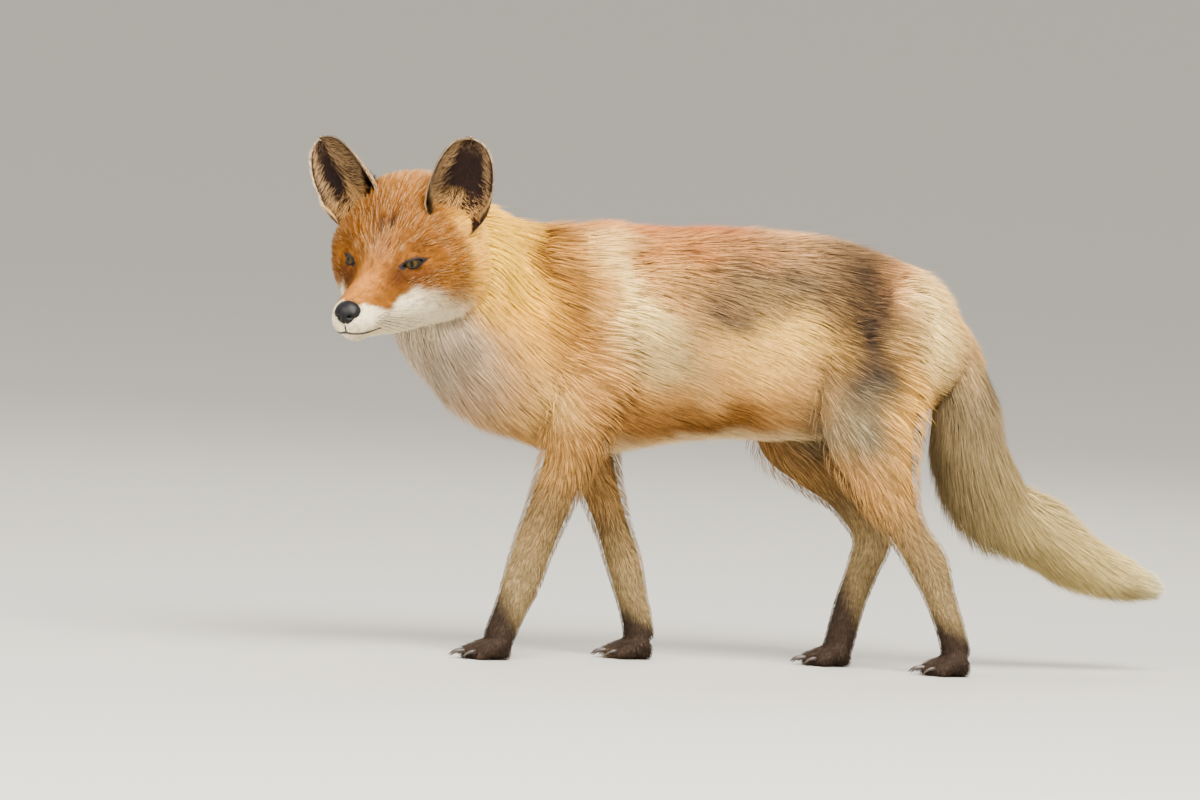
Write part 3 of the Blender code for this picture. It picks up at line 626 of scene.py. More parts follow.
def head_markings(h):
    """The face, from coordinates in the head's frame."""
    p = np.stack([h[:, 0], np.abs(h[:, 1]), h[:, 2]], axis=1)
    colour = tone(22, 7.8, 0.8)
    for patch, middle, reach, strength in FACE_PATCHES:
        colour = blend(colour, patch, blob(p, middle, reach) * strength)
    for middle, strength in BROW_STROKES:
        colour = blend(colour, tone(3, 1.3, 0.7), blob(h, middle, (0.95, 0.33, 0.75)) * strength)
    colour = blend(colour, tone(52, 34, 16), blob(p, (7.4, 2.0, 3.95), (0.26, 0.18, 0.22)) * 0.4)
    colour = blend(colour, tone(97, 48, 4), smooth(10.6, 12.6, p[:, 0]) * smooth(7.0, 4.0, p[:, 2]) * 0.95)
    ragged = 0.12 * ripple(h, 1.9, 3) + 0.06 * ripple(h, 0.6, 4)
    border = np.interp(p[:, 0], WHITE_BACK, WHITE_UP) + ragged
    softness = 0.30 + 0.22 * np.clip(p[:, 0] - 5, 0, 6)
    colour = blend(colour, WHITE, smooth(-1, 1, (border - p[:, 2]) / softness))
    colour = blend(colour, tone(34, 16, 4), blob(p, (10.4, 6.0, -0.7), (2.0, 2.0, 0.9)) * 0.6)
    return blend(colour, tone(16, 6, 2.0), blob(p, (4.5, 2.2, -0.42), (0.8, 1.0, 0.26)) * 0.65)


def side_view(points):
    """x and z of each point, counted as the patches of the body are."""
    return points[:, [0, 2]] - BODY_SHIFT[[0, 2]] - (SIDE_ZERO, 0.0)


def side_patches(points):
    """The body's ground colour under the patches, whose edges a slow ripple makes uneven."""
    wander = np.stack([ripple(points, 0.055, 11), ripple(points, 0.055, 12)], axis=1) * 0.007
    flat = side_view(points) + wander
    body = OCHRE
    for x, z, along, high, lean, colour, strength in BODY_PATCHES:
        dz = flat[:, 1] - z
        dx = flat[:, 0] - x - lean * dz
        body = blend(body, colour, strength * bell(dx / along, dz / high))
    return body


def grizzle(points):
    """The share of dark-tipped hairs at each point."""
    flat = side_view(points)
    share = np.zeros(len(points))
    for x, z, along, high, most in GRIZZLE:
        share += most * bell((flat[:, 0] - x) / along, (flat[:, 1] - z) / high)
    return share


def trunk_markings(points, patches, way, turn):
    """The patches, with a bib down the front of the neck and chest, darkened down the chest and in streaks
    as painted shade, and a pale belly between the legs.
    """
    bib = smooth(0.30, 0.80, -np.cos(turn)) * smooth(0.66, 0.78, way)
    # The bib is pale at the throat and darker down the chest: the darker end is painted shade under the
    # neck.
    throat = blend(tone(46, 36, 26), tone(84, 68, 45), smooth(0.84, 0.95, way))
    body = blend(patches, throat, bib * 0.95)
    # Dark streaks on the bib: partly the fur's own and partly painted shade.
    body = blend(body, tone(26, 17, 10), bib * smooth(0.2, 1.1, ripple(points, 0.030, 21)) * 0.5)
    belly = smooth(0.94, 1.0, -np.cos(turn)) * smooth(0.66, 0.55, way) * smooth(0.10, 0.24, way)
    return blend(body, tone(84, 60, 30), belly * 0.8)


def tail_markings(way, turn):
    """Tones from root to tip, darker below as painted shade, with one black spot on top near the root."""
    tail = np.stack([np.interp(way, TAIL_STOPS, TAIL_TONES[:, i]) for i in range(3)], axis=1)
    top = smooth(0.2, 0.9, np.cos(turn))
    tail = blend(tail, tone(22, 13, 6), top * 0.12 * smooth(0.9, 0.7, way))
    # Painted shade: the underside of the tail is darker by up to three tenths.
    tail = tail * (1 - 0.30 * smooth(0.1, 0.8, -np.cos(turn)))[:, None]
    return blend(tail, BLACK, top * bell((way - 0.20) / 0.03) * 0.8)


def leg_markings(name, patches, way, turn):
    """The side's own patches above, a plain leg with painted shade at elbow or knee, and a dark sock."""
    leg = blend(tone(33, 20, 7.6), tone(28, 19.5, 8.8), smooth(0.4, 0.75, way))
    leg = blend(patches, leg, smooth(0.34, 0.56, way))
    # Painted shade: darker at the elbow or knee, where the body shades the leg.
    leg = leg * (1 - LEG_PAINTED_SHADE[name] * smooth(0.20, 0.38, way) * smooth(0.66, 0.5, way))[:, None]
    return blend(leg, SOCK, smooth(0.80, 0.94, way + 0.06 * np.cos(turn)))


def markings(points):
    """The colour of skin and coat at each point: each limb's own, by the limb's share."""
    found, shares = places(points)
    patches = side_patches(points)
    trunk = trunk_markings(points, patches, *found["trunk"][:2])
    tail = tail_markings(*found["tail"][:2])
    colour = trunk * shares["trunk"][:, None] + tail * shares["tail"][:, None]
    colour = colour + head_markings(to_head(points)) * shares["head"][:, None]
    for name in LEGS:
        colour = colour + leg_markings(name, patches, *found[name][:2]) * shares[name][:, None]
    return np.clip(colour, 0.0, 1.0)


print("markings ready")

# %% [markdown]
# ## Eyes
#
# An eyeball is a ball with a clear bulge in front. The iris is amber with a dark rim and a tall, narrow
# pupil, as a fox's is by day. The pattern is worked out on the ball's own grid: the angle from the gaze
# gives pupil, iris and rim, and fine spokes follow the turn round it. It is stored as a colour on the
# points.

# %% Eye directions
GAZE_TURN, GAZE_RISE = math.radians(30), math.radians(4)
PUPIL_HALF = (0.17, 0.30)  # half its width and half its height, in eye radii


def outlook(side, turn, rise):
    """A direction from the eye: turn to the side from straight ahead, and rise above level."""
    level = np.array((-math.cos(turn), side * math.sin(turn), 0.0)) * math.cos(rise)
    return unit(level + (0.0, 0.0, math.sin(rise)))


def colour_points(mesh, colours, name="coat"):
    """Stores one colour for each point."""
    layer = mesh.color_attributes.new(name, "FLOAT_COLOR", "POINT")
    rgba = np.ones((len(mesh.vertices), 4), np.float32)
    rgba[:, :3] = colours
    layer.data.foreach_set("color", rgba.ravel())


def iris_colours(flat):
    """Iris, rim and pupil, from each point's place in eye radii: level, high and towards the gaze."""
    off = np.arctan2(np.hypot(flat[:, 0], flat[:, 1]), flat[:, 2])
    spoke = np.arctan2(flat[:, 1], flat[:, 0])
    streak = 0.5 + 0.25 * np.sin(spoke * 37 + 2 * np.sin(spoke * 5)) + 0.25 * np.sin(spoke * 61 + 1.3)
    iris = blend(tone(3.2, 2.0, 0.4), tone(1.0, 0.6, 0.2), streak * 0.7)
    iris = blend(iris, tone(6.0, 4.3, 1.1), bell((off - 0.38) / 0.12) * 0.6)
    iris = blend(iris, tone(1.5, 1.2, 0.8), smooth(0.58, 0.70, off))
    iris = blend(iris, tone(3, 1.6, 1.0), smooth(0.80, 0.95, off) * 0.6)
    pupil = np.hypot(flat[:, 0] / PUPIL_HALF[0], flat[:, 1] / PUPIL_HALF[1])
    return blend(iris, tone(0.3, 0.3, 0.3), smooth(1.12, 0.92, pupil) * (flat[:, 2] > 0))


def eyeball(name, side):
    """A ball turned to the gaze: each ring lies at one angle from it, and the front bulges by 5%."""
    centre = EYE_BALL * (1, side, 1)
    gaze = outlook(side, GAZE_TURN, GAZE_RISE)
    level = unit(np.cross((0, 0, 1.0), gaze))
    high = np.cross(gaze, level)
    rings, sides = 56, 72
    angle = np.linspace(0.02, np.pi - 0.02, rings)[:, None]
    turn = turns(sides)[None]
    bulge = 1 + 0.05 * smooth(0.75, 0.35, angle)
    out = gaze * np.cos(angle)[..., None] + np.sin(angle)[..., None] * (
        level * np.cos(turn)[..., None] + high * np.sin(turn)[..., None]
    )
    grid = from_head(centre + out * (bulge * EYE_RADIUS / CM)[..., None])
    obj = mesh_object(name, [closed_tube(grid)])
    p = to_head(mesh_points(obj.data)) - centre
    flat = np.stack([p @ level, p @ high, p @ gaze], axis=1) / (EYE_RADIUS / CM)
    colour_points(obj.data, iris_colours(flat), "eye")
    return obj


eye_left = eyeball("eyeball_left", 1)
eye_right = eyeball("eyeball_right", -1)
print("eyeballs:", len(eye_left.data.vertices), "points each")

# %% [markdown]
# ## Lids
#
# Nothing gives an animal's look like its lids. Each pair is one sheet of skin: it starts inside the slit,
# rolls over a thick black margin, hugs the ball, and runs out into the face. On a polar grid seen along
# the opening, its height is the greater of the ball's surface and the face's own, joined smoothly. The
# face's skin is first sunk under the lids, so that only the sheet shows.

# %% Lid sheets
OPENING_TURN, OPENING_RISE = math.radians(40), math.radians(4)
LID_TILT = math.radians(9)
SLIT_HALF = 1.04  # cm, from the middle of the slit to a corner
# cm above and below the middle, for the left side (1) and the right. The left eye is half closed.
SLIT_RISE = {1: (0.36, 0.30), -1: (0.42, 0.38)}
LID_REACH = 1.75  # cm
LID_SKIN = 0.08  # cm
LID_SIDES = 96
LID_BACK = -0.3  # cm: how far behind the middle of the eye the lids reach
FACE_REACH = 0.13  # cm


def lid_axes(side):
    """The directions out of the slit's plane, along the slit and across it."""
    out = outlook(side, OPENING_TURN, OPENING_RISE)
    level = unit(np.cross((0, 0, 1.0), out)) * -side
    high = unit(np.cross(level, out))
    high = high if high[2] > 0 else -high
    cos, sin = math.cos(LID_TILT), math.sin(LID_TILT)
    return out, level * cos + high * sin, high * cos - level * sin


def slit_edge(turn, side):
    """The slit's edge, an almond: its height goes as 1 - (x / half length) to the 2.2, or squared below."""
    x = np.cos(turn) * SLIT_HALF
    above, below = SLIT_RISE[side]
    upper = above * np.clip(1 - np.abs(x / SLIT_HALF) ** 2.2, 0, 1)
    lower = -below * np.clip(1 - np.abs(x / SLIT_HALF) ** 2.0, 0, 1)
    return x, np.where(np.sin(turn) >= 0, upper, lower)


def face_height(u, v, cloud):
    """The face's height over the slit's plane: the skin's mean, weighed by exp(-(distance / reach)2)."""
    square = (u[:, None] - cloud[None, :, 0]) ** 2 + (v[:, None] - cloud[None, :, 1]) ** 2
    weight = np.exp(-square / FACE_REACH**2) + 1e-12
    return (weight @ cloud[:, 2]) / weight.sum(axis=1)


def lid_sheet(side, head_points):
    """The lids' grid, with rings from inside the slit out to LID_REACH, and the sunk skin under it."""
    centre = EYE_BALL * (1, side, 1)
    out, level, high = lid_axes(side)
    away = head_points - centre
    u, v, w = away @ level, away @ high, away @ out
    across = np.hypot(u, v)
    facing = (w > LID_BACK) & (across < 3.0)
    cloud = np.stack([u, v, w], axis=1)[facing]
    turn = turns(LID_SIDES)
    edge_u, edge_v = slit_edge(turn, side)
    rings = []
    for step in np.concatenate([[-0.10, -0.03], np.linspace(0.0, 1.0, 17)]):
        grow = max(step, 0.0) ** 1.15
        far = LID_REACH * np.stack([np.cos(turn), np.sin(turn)])
        inset = 1 + min(step, 0.0) * 0.7
        ring_u = edge_u * inset * (1 - grow) + far[0] * grow
        ring_v = edge_v * inset * (1 - grow) + far[1] * grow
        spread = np.hypot(ring_u, ring_v)
        radius = EYE_RADIUS / CM * 1.02
        ball = np.sqrt(np.maximum(radius**2 - spread**2, 0.0)) + LID_SKIN
        face = face_height(ring_u, ring_v, cloud)
        gap = ball - face
        height = face + (gap + np.sqrt(gap**2 + 0.12**2)) / 2
        crease = bell((spread - 0.95) / 0.10) * smooth(0.1, 0.6, np.sin(turn)) * 0.03
        margin = bell(step / 0.06) * 0.05
        height = height + margin - crease - (0.30 if step < -0.05 else 0.0) - 0.10 * smooth(0.85, 1.0, step)
        rings.append(centre + ring_u[:, None] * level + ring_v[:, None] * high + height[:, None] * out)
    drop = smooth(LID_REACH - 0.05, LID_REACH - 0.55, across) * (w > LID_BACK) * 0.42
    sunk = head_points - out * drop[:, None]
    return np.array(rings), sunk, (across < LID_REACH - 0.25) & (w > LID_BACK)


head_points = to_head(skin_points)
lid_grids, under_lids = [], np.zeros(len(skin_points), bool)
for side in (1, -1):
    grid, head_points, hidden = lid_sheet(side, head_points)
    lid_grids.append(grid)
    under_lids |= hidden
move_points(skin.data, from_head(head_points))
skin_points = mesh_points(skin.data)
print("lid sheets:", len(lid_grids), "skin points under them:", int(under_lids.sum()))

# %% [markdown]
# The sheet becomes a thin closed shell, so it has an inside as well: the same grid again, half a millimetre
# nearer the ball, joined at both edges.

# %% Lid shells
LID_WALL = 0.05  # cm


def shell_from_sheet(grid, inward, thickness):
    """A closed ring-shaped wall: the sheet, and the sheet moved inward, joined at its two edges."""
    loop = np.concatenate([grid, (grid + inward * thickness)[::-1]], axis=0)
    rows, columns, _ = loop.shape
    return loop.reshape(-1, 3), (grid_quads(rows, columns, rows_join=True),)


lid_parts = []
for side, grid in zip((1, -1), lid_grids):
    points, faces = shell_from_sheet(grid, -lid_axes(side)[0], LID_WALL)
    lid_parts.append((from_head(points), faces))
lids = mesh_object("eyelids", lid_parts)


def slit_distance(h):
    """Distance from the nearer slit in cm (9 where a point faces another way), and the place there."""
    far = np.full(len(h), 9.0)
    place = np.zeros((len(h), 2))
    for side in (1, -1):
        out, level, high = lid_axes(side)
        away = h - EYE_BALL * (1, side, 1)
        u, v, w = away @ level, away @ high, away @ out
        bow = np.clip(1 - (np.minimum(np.abs(u) / SLIT_HALF, 1.0)) ** 2.1, 0, 1)
        edge = np.where(v > 0, SLIT_RISE[side][0], SLIT_RISE[side][1]) * bow
        gap = np.hypot(np.maximum(np.abs(u) - SLIT_HALF, 0), np.maximum(np.abs(v) - edge, 0))
        mine = (w > -0.8) & (gap < far)
        far = np.where(mine, gap, far)
        place = np.where(mine[:, None], np.stack([u, v], axis=1), place)
    return far, place


def bare_skin(h):
    """How bare and black the skin round the eye is: 1 at the slit's margin and at the tear corner."""
    far, place = slit_distance(h)
    tear = bell((place[:, 0] + 1.32) / 0.42, (place[:, 1] + 0.10) / 0.24) * (far < 3)
    tail = bell((place[:, 0] - 1.20) / 0.30, (place[:, 1] - 0.02) / 0.12) * (far < 3)
    return np.clip(smooth(0.30, 0.10, far) + tear * 1.4 + tail, 0, 1)


def skin_tones(points, shade):
    """Black at the slits' margins and tear corners, and the markings beyond, darker by shade."""
    return blend(markings(points) * shade, BLACK, bare_skin(to_head(points)))


colour_points(lids.data, skin_tones(mesh_points(lids.data), 0.7))
print("eyelids:", len(lids.data.polygons), "faces")

# %% [markdown]
# ## Nose
#
# The nose leather is a rounded pad, wide above and narrow below, with a groove down its middle and two
# comma-shaped nostrils that open forwards and run out to the sides. It is a ball whose distance from its
# middle is changed by a few soft bumps and hollows, each a function of direction.

# %% Nose leather
NOSE_MIDDLE = np.array((0.95, 0.0, 0.02))
NOSE_SIZE = np.array((1.00, 1.22, 1.08))


def nose_pad():
    """A ball whose radius is 1, less a groove, two nostrils and their commas, plus a swelling over each."""
    rings, sides = 90, 110
    angle = np.linspace(0.01, np.pi - 0.01, rings)[:, None]
    turn = turns(sides)[None]
    ahead = -np.cos(angle) + 0 * turn
    left = np.sin(angle) * np.cos(turn)
    high = np.sin(angle) * np.sin(turn)
    side = np.abs(left)
    size = 1 - 0.10 * smooth(0.0, -1.0, high) * smooth(0.2, 0.9, side)
    groove = bell(left / 0.055) * smooth(0.35, -0.2, high) * 0.07
    holes = bell((side - 0.46) / 0.17, (high + 0.12) / 0.15) * smooth(0.1, 0.5, -ahead)
    comma = bell((side - 0.80) / 0.20, (high + 0.24 + 0.25 * (side - 0.5)) / 0.07)
    wing = bell((side - 0.66) / 0.20, (high - 0.14) / 0.20) * 0.05
    size = size - groove + wing - 0.34 * holes - 0.12 * comma * smooth(-0.2, 0.3, -ahead)
    p = np.stack([ahead, left, high], axis=-1) * size[..., None] * NOSE_SIZE + NOSE_MIDDLE
    obj = mesh_object("nose_leather", [closed_tube(from_head(p))])
    # Painted shade: the leather is darker inside the nostrils and their commas.
    depth = np.concatenate([(0.34 * holes + 0.10 * comma).ravel(), [0.0, 0.0]])
    colour_points(obj.data, blend(tone(0.4, 0.38, 0.45), tone(0.3, 0.25, 0.3), depth * 4), "leather")
    return obj


nose = nose_pad()
# The skin behind the pad is drawn back to half the pad's size, so that the nostrils open into the dark.
head_points = to_head(skin_points)
reach = (head_points - NOSE_MIDDLE) / NOSE_SIZE
far = np.linalg.norm(reach, axis=1, keepdims=True)
behind = NOSE_MIDDLE + reach * NOSE_SIZE * (1 - 0.5 * smooth(1.0, 0.93, far))
move_points(skin.data, from_head(behind))
skin_points = mesh_points(skin.data)
print("nose:", len(nose.data.polygons), "faces")

# %% [markdown]
# ## Lips, claws and whiskers
#
# The lips are a dark line of bare skin along the mouth: a thin tube that follows the edge between the jaws,
# from one corner round under the nose to the other. Claws and whiskers are tapered tubes too.

# %% Lips
LIP_LINE = np.array((  # back, half width of the mouth there, up
    (0.50, 0.00, -1.42),
    (0.85, 0.85, -1.60),
    (1.60, 1.40, -1.85),
    (2.60, 1.62, -2.18),
    (3.40, 1.78, -2.46),
    (4.00, 1.88, -2.60),
))


def mouth_line():
    """The lips' line from the right corner round the front to the left one."""
    half = spline(LIP_LINE, 8)
    right = half[:0:-1] * (1, -1, 1)
    return np.vstack([right, half])


def onto_skin(line, lift):
    """Puts a line on the skin: each point goes to the mean of the skin near by, and a little out of it."""
    h = to_head(skin_points)
    near = h[(h[:, 0] < 9) & (h[:, 2] < 1.0)]
    square = ((line[:, None] - near[None]) ** 2).sum(axis=-1)
    weight = np.exp(-square / 0.22**2) + 1e-12
    mean = (weight @ near) / weight.sum(axis=1)[:, None]
    out = unit((mean - (0, 0, -0.6)) * (0, 1, 1) + (-1.2, 0, 0) * smooth(1.4, 0.4, line[:, :1]))
    return mean + out * lift


def along_tube(path, radius, sides=10):
    """A round tube of changing radius on a path given in the fox's frame."""
    along = unit(np.gradient(path, axis=0))
    sideways = unit(np.cross(along, (0.13, 0.21, 0.97)))
    high = np.cross(sideways, along)
    return tube(path, sideways, high, radius, radius, radius, sides)


LIP_RADIUS, FURROW_RADIUS = 0.0013, 0.0007
lip_path = onto_skin(mouth_line(), 0.05)
lip_radius = LIP_RADIUS * np.sin(np.linspace(0.25, np.pi - 0.25, len(lip_path))) ** 0.5
furrow = onto_skin(np.linspace((0.16, 0.0, -0.85), (0.50, 0.0, -1.42), 7), 0.03)
lips = mesh_object("lips", [
    closed_tube(along_tube(from_head(lip_path), lip_radius)),
    closed_tube(along_tube(from_head(furrow), np.full(len(furrow), FURROW_RADIUS))),
])


def lip_distance(h):
    """Each point's distance from the lips and the furrow under the nose, in cm."""
    line = np.vstack([lip_path, furrow])
    far = np.full(len(h), 9.0)
    near = (h[:, 0] < 8) & (h[:, 2] < 0) & (h[:, 2] > -3.5)
    far[near] = np.sqrt(((h[near][:, None] - line[None]) ** 2).sum(axis=-1).min(axis=1))
    return far


claws = mesh_object("claws", [closed_tube(grid) for grid in claw_tubes])
print("lips:", len(lips.data.polygons), "faces; claws:", len(claws.data.polygons), "faces")

# %% [markdown]
# Whiskers stand in three rows of four on each lip, longer towards the back. Each bends down and back as the
# square of the way along it.

# %% Whiskers
whisker_rng = np.random.default_rng(5)
whisker_tubes = []
for side in (1, -1):
    for row in range(3):
        for place in range(4):
            back, up = 1.7 + 0.55 * place + 0.1 * row, -0.55 - 0.33 * row
            start = np.array((back, side * (1.62 + 0.10 * place), up))
            length = 2.6 + 0.55 * place + whisker_rng.uniform(-0.3, 0.3)
            aim = unit(np.array((0.75 + 0.12 * place, side * 0.75, -0.12 - 0.22 * row)))
            t = np.linspace(0, 1, 9)[:, None]
            bow = np.array((0.8, 0.0, -0.35)) * (t**2) * length * 0.22
            path = from_head(start + aim * t * length + bow)
            whisker_tubes.append(closed_tube(along_tube(path, 0.00028 * (1 - 0.85 * t[:, 0]), 5)))
whiskers = mesh_object("whiskers", whisker_tubes)
print("whiskers:", len(whisker_tubes))

# %% [markdown]
# ## Ears
#
# An ear is a cupped leaf. Up its height t, its half width follows (0.70 + 0.72t - 0.52t2) times the root of
# 1 - t to the 5.5, which gives a rounded tip, and its section is an arc that opens from a near roll at the
# base to a shallow cup at the tip. Near the base both edges flare. Front and back are the same grid, one
# wall's thickness apart.

# %% Ear leaves
EARS = {  # base, tip, direction of the opening, flare of the inner and the outer edge
    "left": ((13.0, 4.5, 5.6), (13.88, 6.45, 12.60), (-0.80, 0.58, -0.10), (1.2, 0.8)),
    "right": ((13.0, -3.9, 5.6), (13.29, -7.98, 11.97), (-0.98, -0.10, -0.10), (-1.9, -0.5)),
}
EAR_HALF_WIDTH = 2.50
EAR_WALL = 0.10


def ear_leaf(base, tip, opening, flare, rows=34, columns=41):
    """An ear's middle surface, its direction away from the opening, t, and the place across (1: inner)."""
    base, tip, opening = (np.asarray(v, float) for v in (base, tip, opening))
    height = tip - base
    up = unit(height)
    front = unit(opening - up * opening.dot(up))
    across = np.cross(up, front)
    t = np.sin(np.pi / 2 * np.linspace(-0.17, 0.985, rows))[:, None]
    place = np.linspace(-1, 1, columns)[None]
    width = EAR_HALF_WIDTH * (0.70 + 0.72 * t - 0.52 * t**2) * np.sqrt(1 - 0.995 * np.maximum(t, 0) ** 5.5)
    bend = np.radians(112 - 62 * t)
    radius = width / np.sin(np.minimum(bend, np.pi / 2))
    turn = bend * place
    out = front * -np.cos(turn)[..., None] + across * np.sin(turn)[..., None]
    middle = base + height * (t * (1 - 0.03 * np.abs(np.sin(turn))))[..., None]
    middle = middle + across * (radius * np.sin(turn))[..., None]
    middle = middle + front * (radius * (0.62 - np.cos(turn) * 0.8))[..., None]
    inner = np.sign(flare[0]) * place
    spread = flare[0] * smooth(0, 1, inner) - flare[1] * smooth(0, 1, -inner)
    middle = middle + across * (spread * (1 - t) ** 1.2 * smooth(-0.30, 0.20, t))[..., None]
    return middle, out, t + 0 * place, inner + 0 * t


def leaf_shell(middle, out, wall):
    """A closed wall round an open leaf: back and front grids, with their four edges joined."""
    back, front = middle + out * wall / 2, middle - out * wall / 2
    loop = np.concatenate([back, front[:, ::-1]], axis=1)
    return closed_tube(loop)


ear_parts, ear_leaves = [], {}
for name, (base, tip, opening, flare) in EARS.items():
    middle, out, t, place = ear_leaf(base, tip, opening, flare)
    ear_leaves[name] = (middle, out, t, place)
    points, faces = leaf_shell(middle, out, EAR_WALL)
    ear_parts.append((from_head(points), faces))
ears = mesh_object("ear_skin", ear_parts)
print("ears:", len(ears.data.polygons), "faces")

# %% [markdown]
# ## Tufts
#
# The coat is solid mesh: each tuft is a slim closed spindle of six triangles, with a point at its root, a
# three-sided waist and a point at its tip. It leaves the skin at a slant and lies down along the coat, so
# its height over the skin at a share t of its length is depth times 1 - (1 - t) squared. Hair grows in
# locks, so the tips within one small cell are drawn towards their common middle. Particle hair would be
# easier, but it is not a shape that can be kept. The tuft's normals lean from the skin's own to either
# side, so that light falls on the coat as it does on a soft round body.

# %% The tuft builder
TUFT_WAIST = 0.38  # share of the way to the tip
TUFT_FACES = np.array(((0, 2, 1), (0, 1, 3), (0, 3, 2), (1, 2, 4), (1, 4, 3), (2, 3, 4)))
TUFT_PATCH = np.array(((0.5, 0.0), (0.0, 0.4), (1.0, 0.4), (0.5, 0.5), (0.5, 1.0))) * 0.003


def locks(points, cell, seed):
    """A lock's number for each point: the cell of a grid that a little noise has bent."""
    bent = points + np.stack([ripple(points, cell * 3.1, seed + k) for k in range(3)], axis=1) * cell * 0.45
    key = np.floor(bent / cell).astype(np.int64)
    code = key[:, 0] * 73856093 ^ key[:, 1] * 19349663 ^ key[:, 2] * 83492791
    return np.unique(code, return_inverse=True)[1].reshape(-1)


def group_mean(values, group):
    """The mean of each group's rows, given back to each of its members."""
    count = np.bincount(group)
    sums = np.stack([np.bincount(group, values[:, i]) for i in range(values.shape[1])], axis=1)
    return (sums / count[:, None])[group]


def lay(root, normal, lie, cell, stray, seed):
    """The lie pressed flat on the skin and swung a little: alike for neighbours, and by chance for each."""
    lie = unit(lie - normal * np.sum(lie * normal, axis=1, keepdims=True))
    by_chance = np.random.default_rng(seed).normal(0, stray, len(root))
    swing = (ripple(root, cell * 6, seed + 1) * 0.13 + by_chance)[:, None]
    return unit(lie * np.cos(swing) + np.cross(normal, lie) * np.sin(swing))


def spindles(root, normal, lie, length, width, depth, cell, pull, seed):
    """Each tuft's five points (root, three of the waist, tip), and normals that lean from the skin's own."""
    length, width, depth = (np.broadcast_to(size, len(root))[:, None] for size in (length, width, depth))
    side = np.cross(normal, lie)
    waist = root + lie * length * TUFT_WAIST + normal * depth * (1 - (1 - TUFT_WAIST) ** 2)
    tip = root + lie * length + normal * depth
    gather = (group_mean(tip, locks(root, cell, seed + 7)) - tip) * pull
    tip = tip + gather
    waist = waist + gather * 0.25
    sunk = root - normal * np.minimum(depth * 0.25, 0.0010)
    half, thick = side * width / 2, normal * width * 0.36
    points = np.stack([sunk, waist - half, waist + half, waist + thick, tip], axis=1)
    points[..., 2] = np.maximum(points[..., 2], 0.0002)
    sides = (unit(normal - side * 0.6), unit(normal + side * 0.6))
    lean = np.stack([normal, *sides, normal, unit(normal + lie * 0.3)], axis=1)
    return points, lean


def tuft_object(name, root, normal, hair, seed, cell, pull, stray):
    """Closed spindles. hair is (lie, length, width, depth, three colours, place in the unwrap)."""
    lie, length, width, depth, tones, uv = hair
    count = len(root)
    lie = lay(root, normal, lie, cell, stray, seed)
    points, lean = spindles(root, normal, lie, length, width, depth, cell, pull, seed)
    faces = (TUFT_FACES[None] + (np.arange(count) * 5)[:, None, None]).reshape(-1, 3)
    mesh = bpy.data.meshes.new(name)
    mesh.vertices.add(count * 5)
    mesh.vertices.foreach_set("co", points.ravel())
    mesh.loops.add(faces.size)
    mesh.loops.foreach_set("vertex_index", faces.ravel().astype(np.int32))
    mesh.polygons.add(len(faces))
    mesh.polygons.foreach_set("loop_start", np.arange(0, faces.size, 3, dtype=np.int32))
    mesh.update(calc_edges=True)
    mesh.polygons.foreach_set("use_smooth", np.ones(len(faces), bool))
    colour_points(mesh, np.stack([tones[0], tones[1], tones[1], tones[1], tones[2]], axis=1).reshape(-1, 3))
    corner_uv = (uv[:, None] + TUFT_PATCH[None]).reshape(-1, 2)[faces.ravel()]
    layer = mesh.uv_layers.new(name="OFBake")
    layer.data.foreach_set("uv", corner_uv.astype(np.float32).ravel())
    mesh.normals_split_custom_set_from_vertices(lean.reshape(-1, 3).tolist())
    print(name, "tufts:", count, "triangles:", len(faces))
    return placed(name, mesh)


print("a tuft has", len(TUFT_FACES), "triangles")

# %% [markdown]
# ## The lie of the coat
#
# Hair lies back from the nose, over the crown and cheeks, along the neck and body to the tail, and down the
# legs, and everywhere its own weight draws it down a little. So its direction is each limb's own direction,
# shared out as the limbs share the place, plus some of straight down.

# %% Lie, depth and unwrap
UNWRAP = {  # corner and size of each limb's strip: along it, round it
    "trunk": (0.01, 0.01, 0.44, 0.38),
    "tail": (0.01, 0.42, 0.30, 0.20),
    "head": (0.47, 0.01, 0.16, 0.34),
    "foreleg_left": (0.65, 0.01, 0.28, 0.15),
    "foreleg_right": (0.65, 0.18, 0.28, 0.15),
    "hindleg_left": (0.65, 0.35, 0.28, 0.15),
    "hindleg_right": (0.65, 0.52, 0.28, 0.15),
}
DROOP = {  # how much of straight down each limb's lie gets
    "trunk": 0.38, "tail": 0.10, "head": 0.10,
    "foreleg_left": 0.0, "foreleg_right": 0.0, "hindleg_left": 0.1, "hindleg_right": 0.1,
}
LEAST_COAT = 0.0003


def nose_distance(h):
    """Each point's distance from the middle of the nose leather, where 1 is the leather's surface."""
    return np.linalg.norm((h - NOSE_MIDDLE) / NOSE_SIZE, axis=1)


def unwrap(found, main):
    """Each point's place on its limb's strip: the way along the limb and the turn round it."""
    uv = np.zeros((len(main), 2))
    for index, name in enumerate(LIMBS):
        corner_x, corner_y, size_x, size_y = UNWRAP[name]
        way, turn, _, _ = found[name]
        mine = main == index
        uv[mine, 0] = corner_x + size_x * way[mine]
        uv[mine, 1] = corner_y + size_y * (turn[mine] / (2 * np.pi) + 0.5)
    return uv


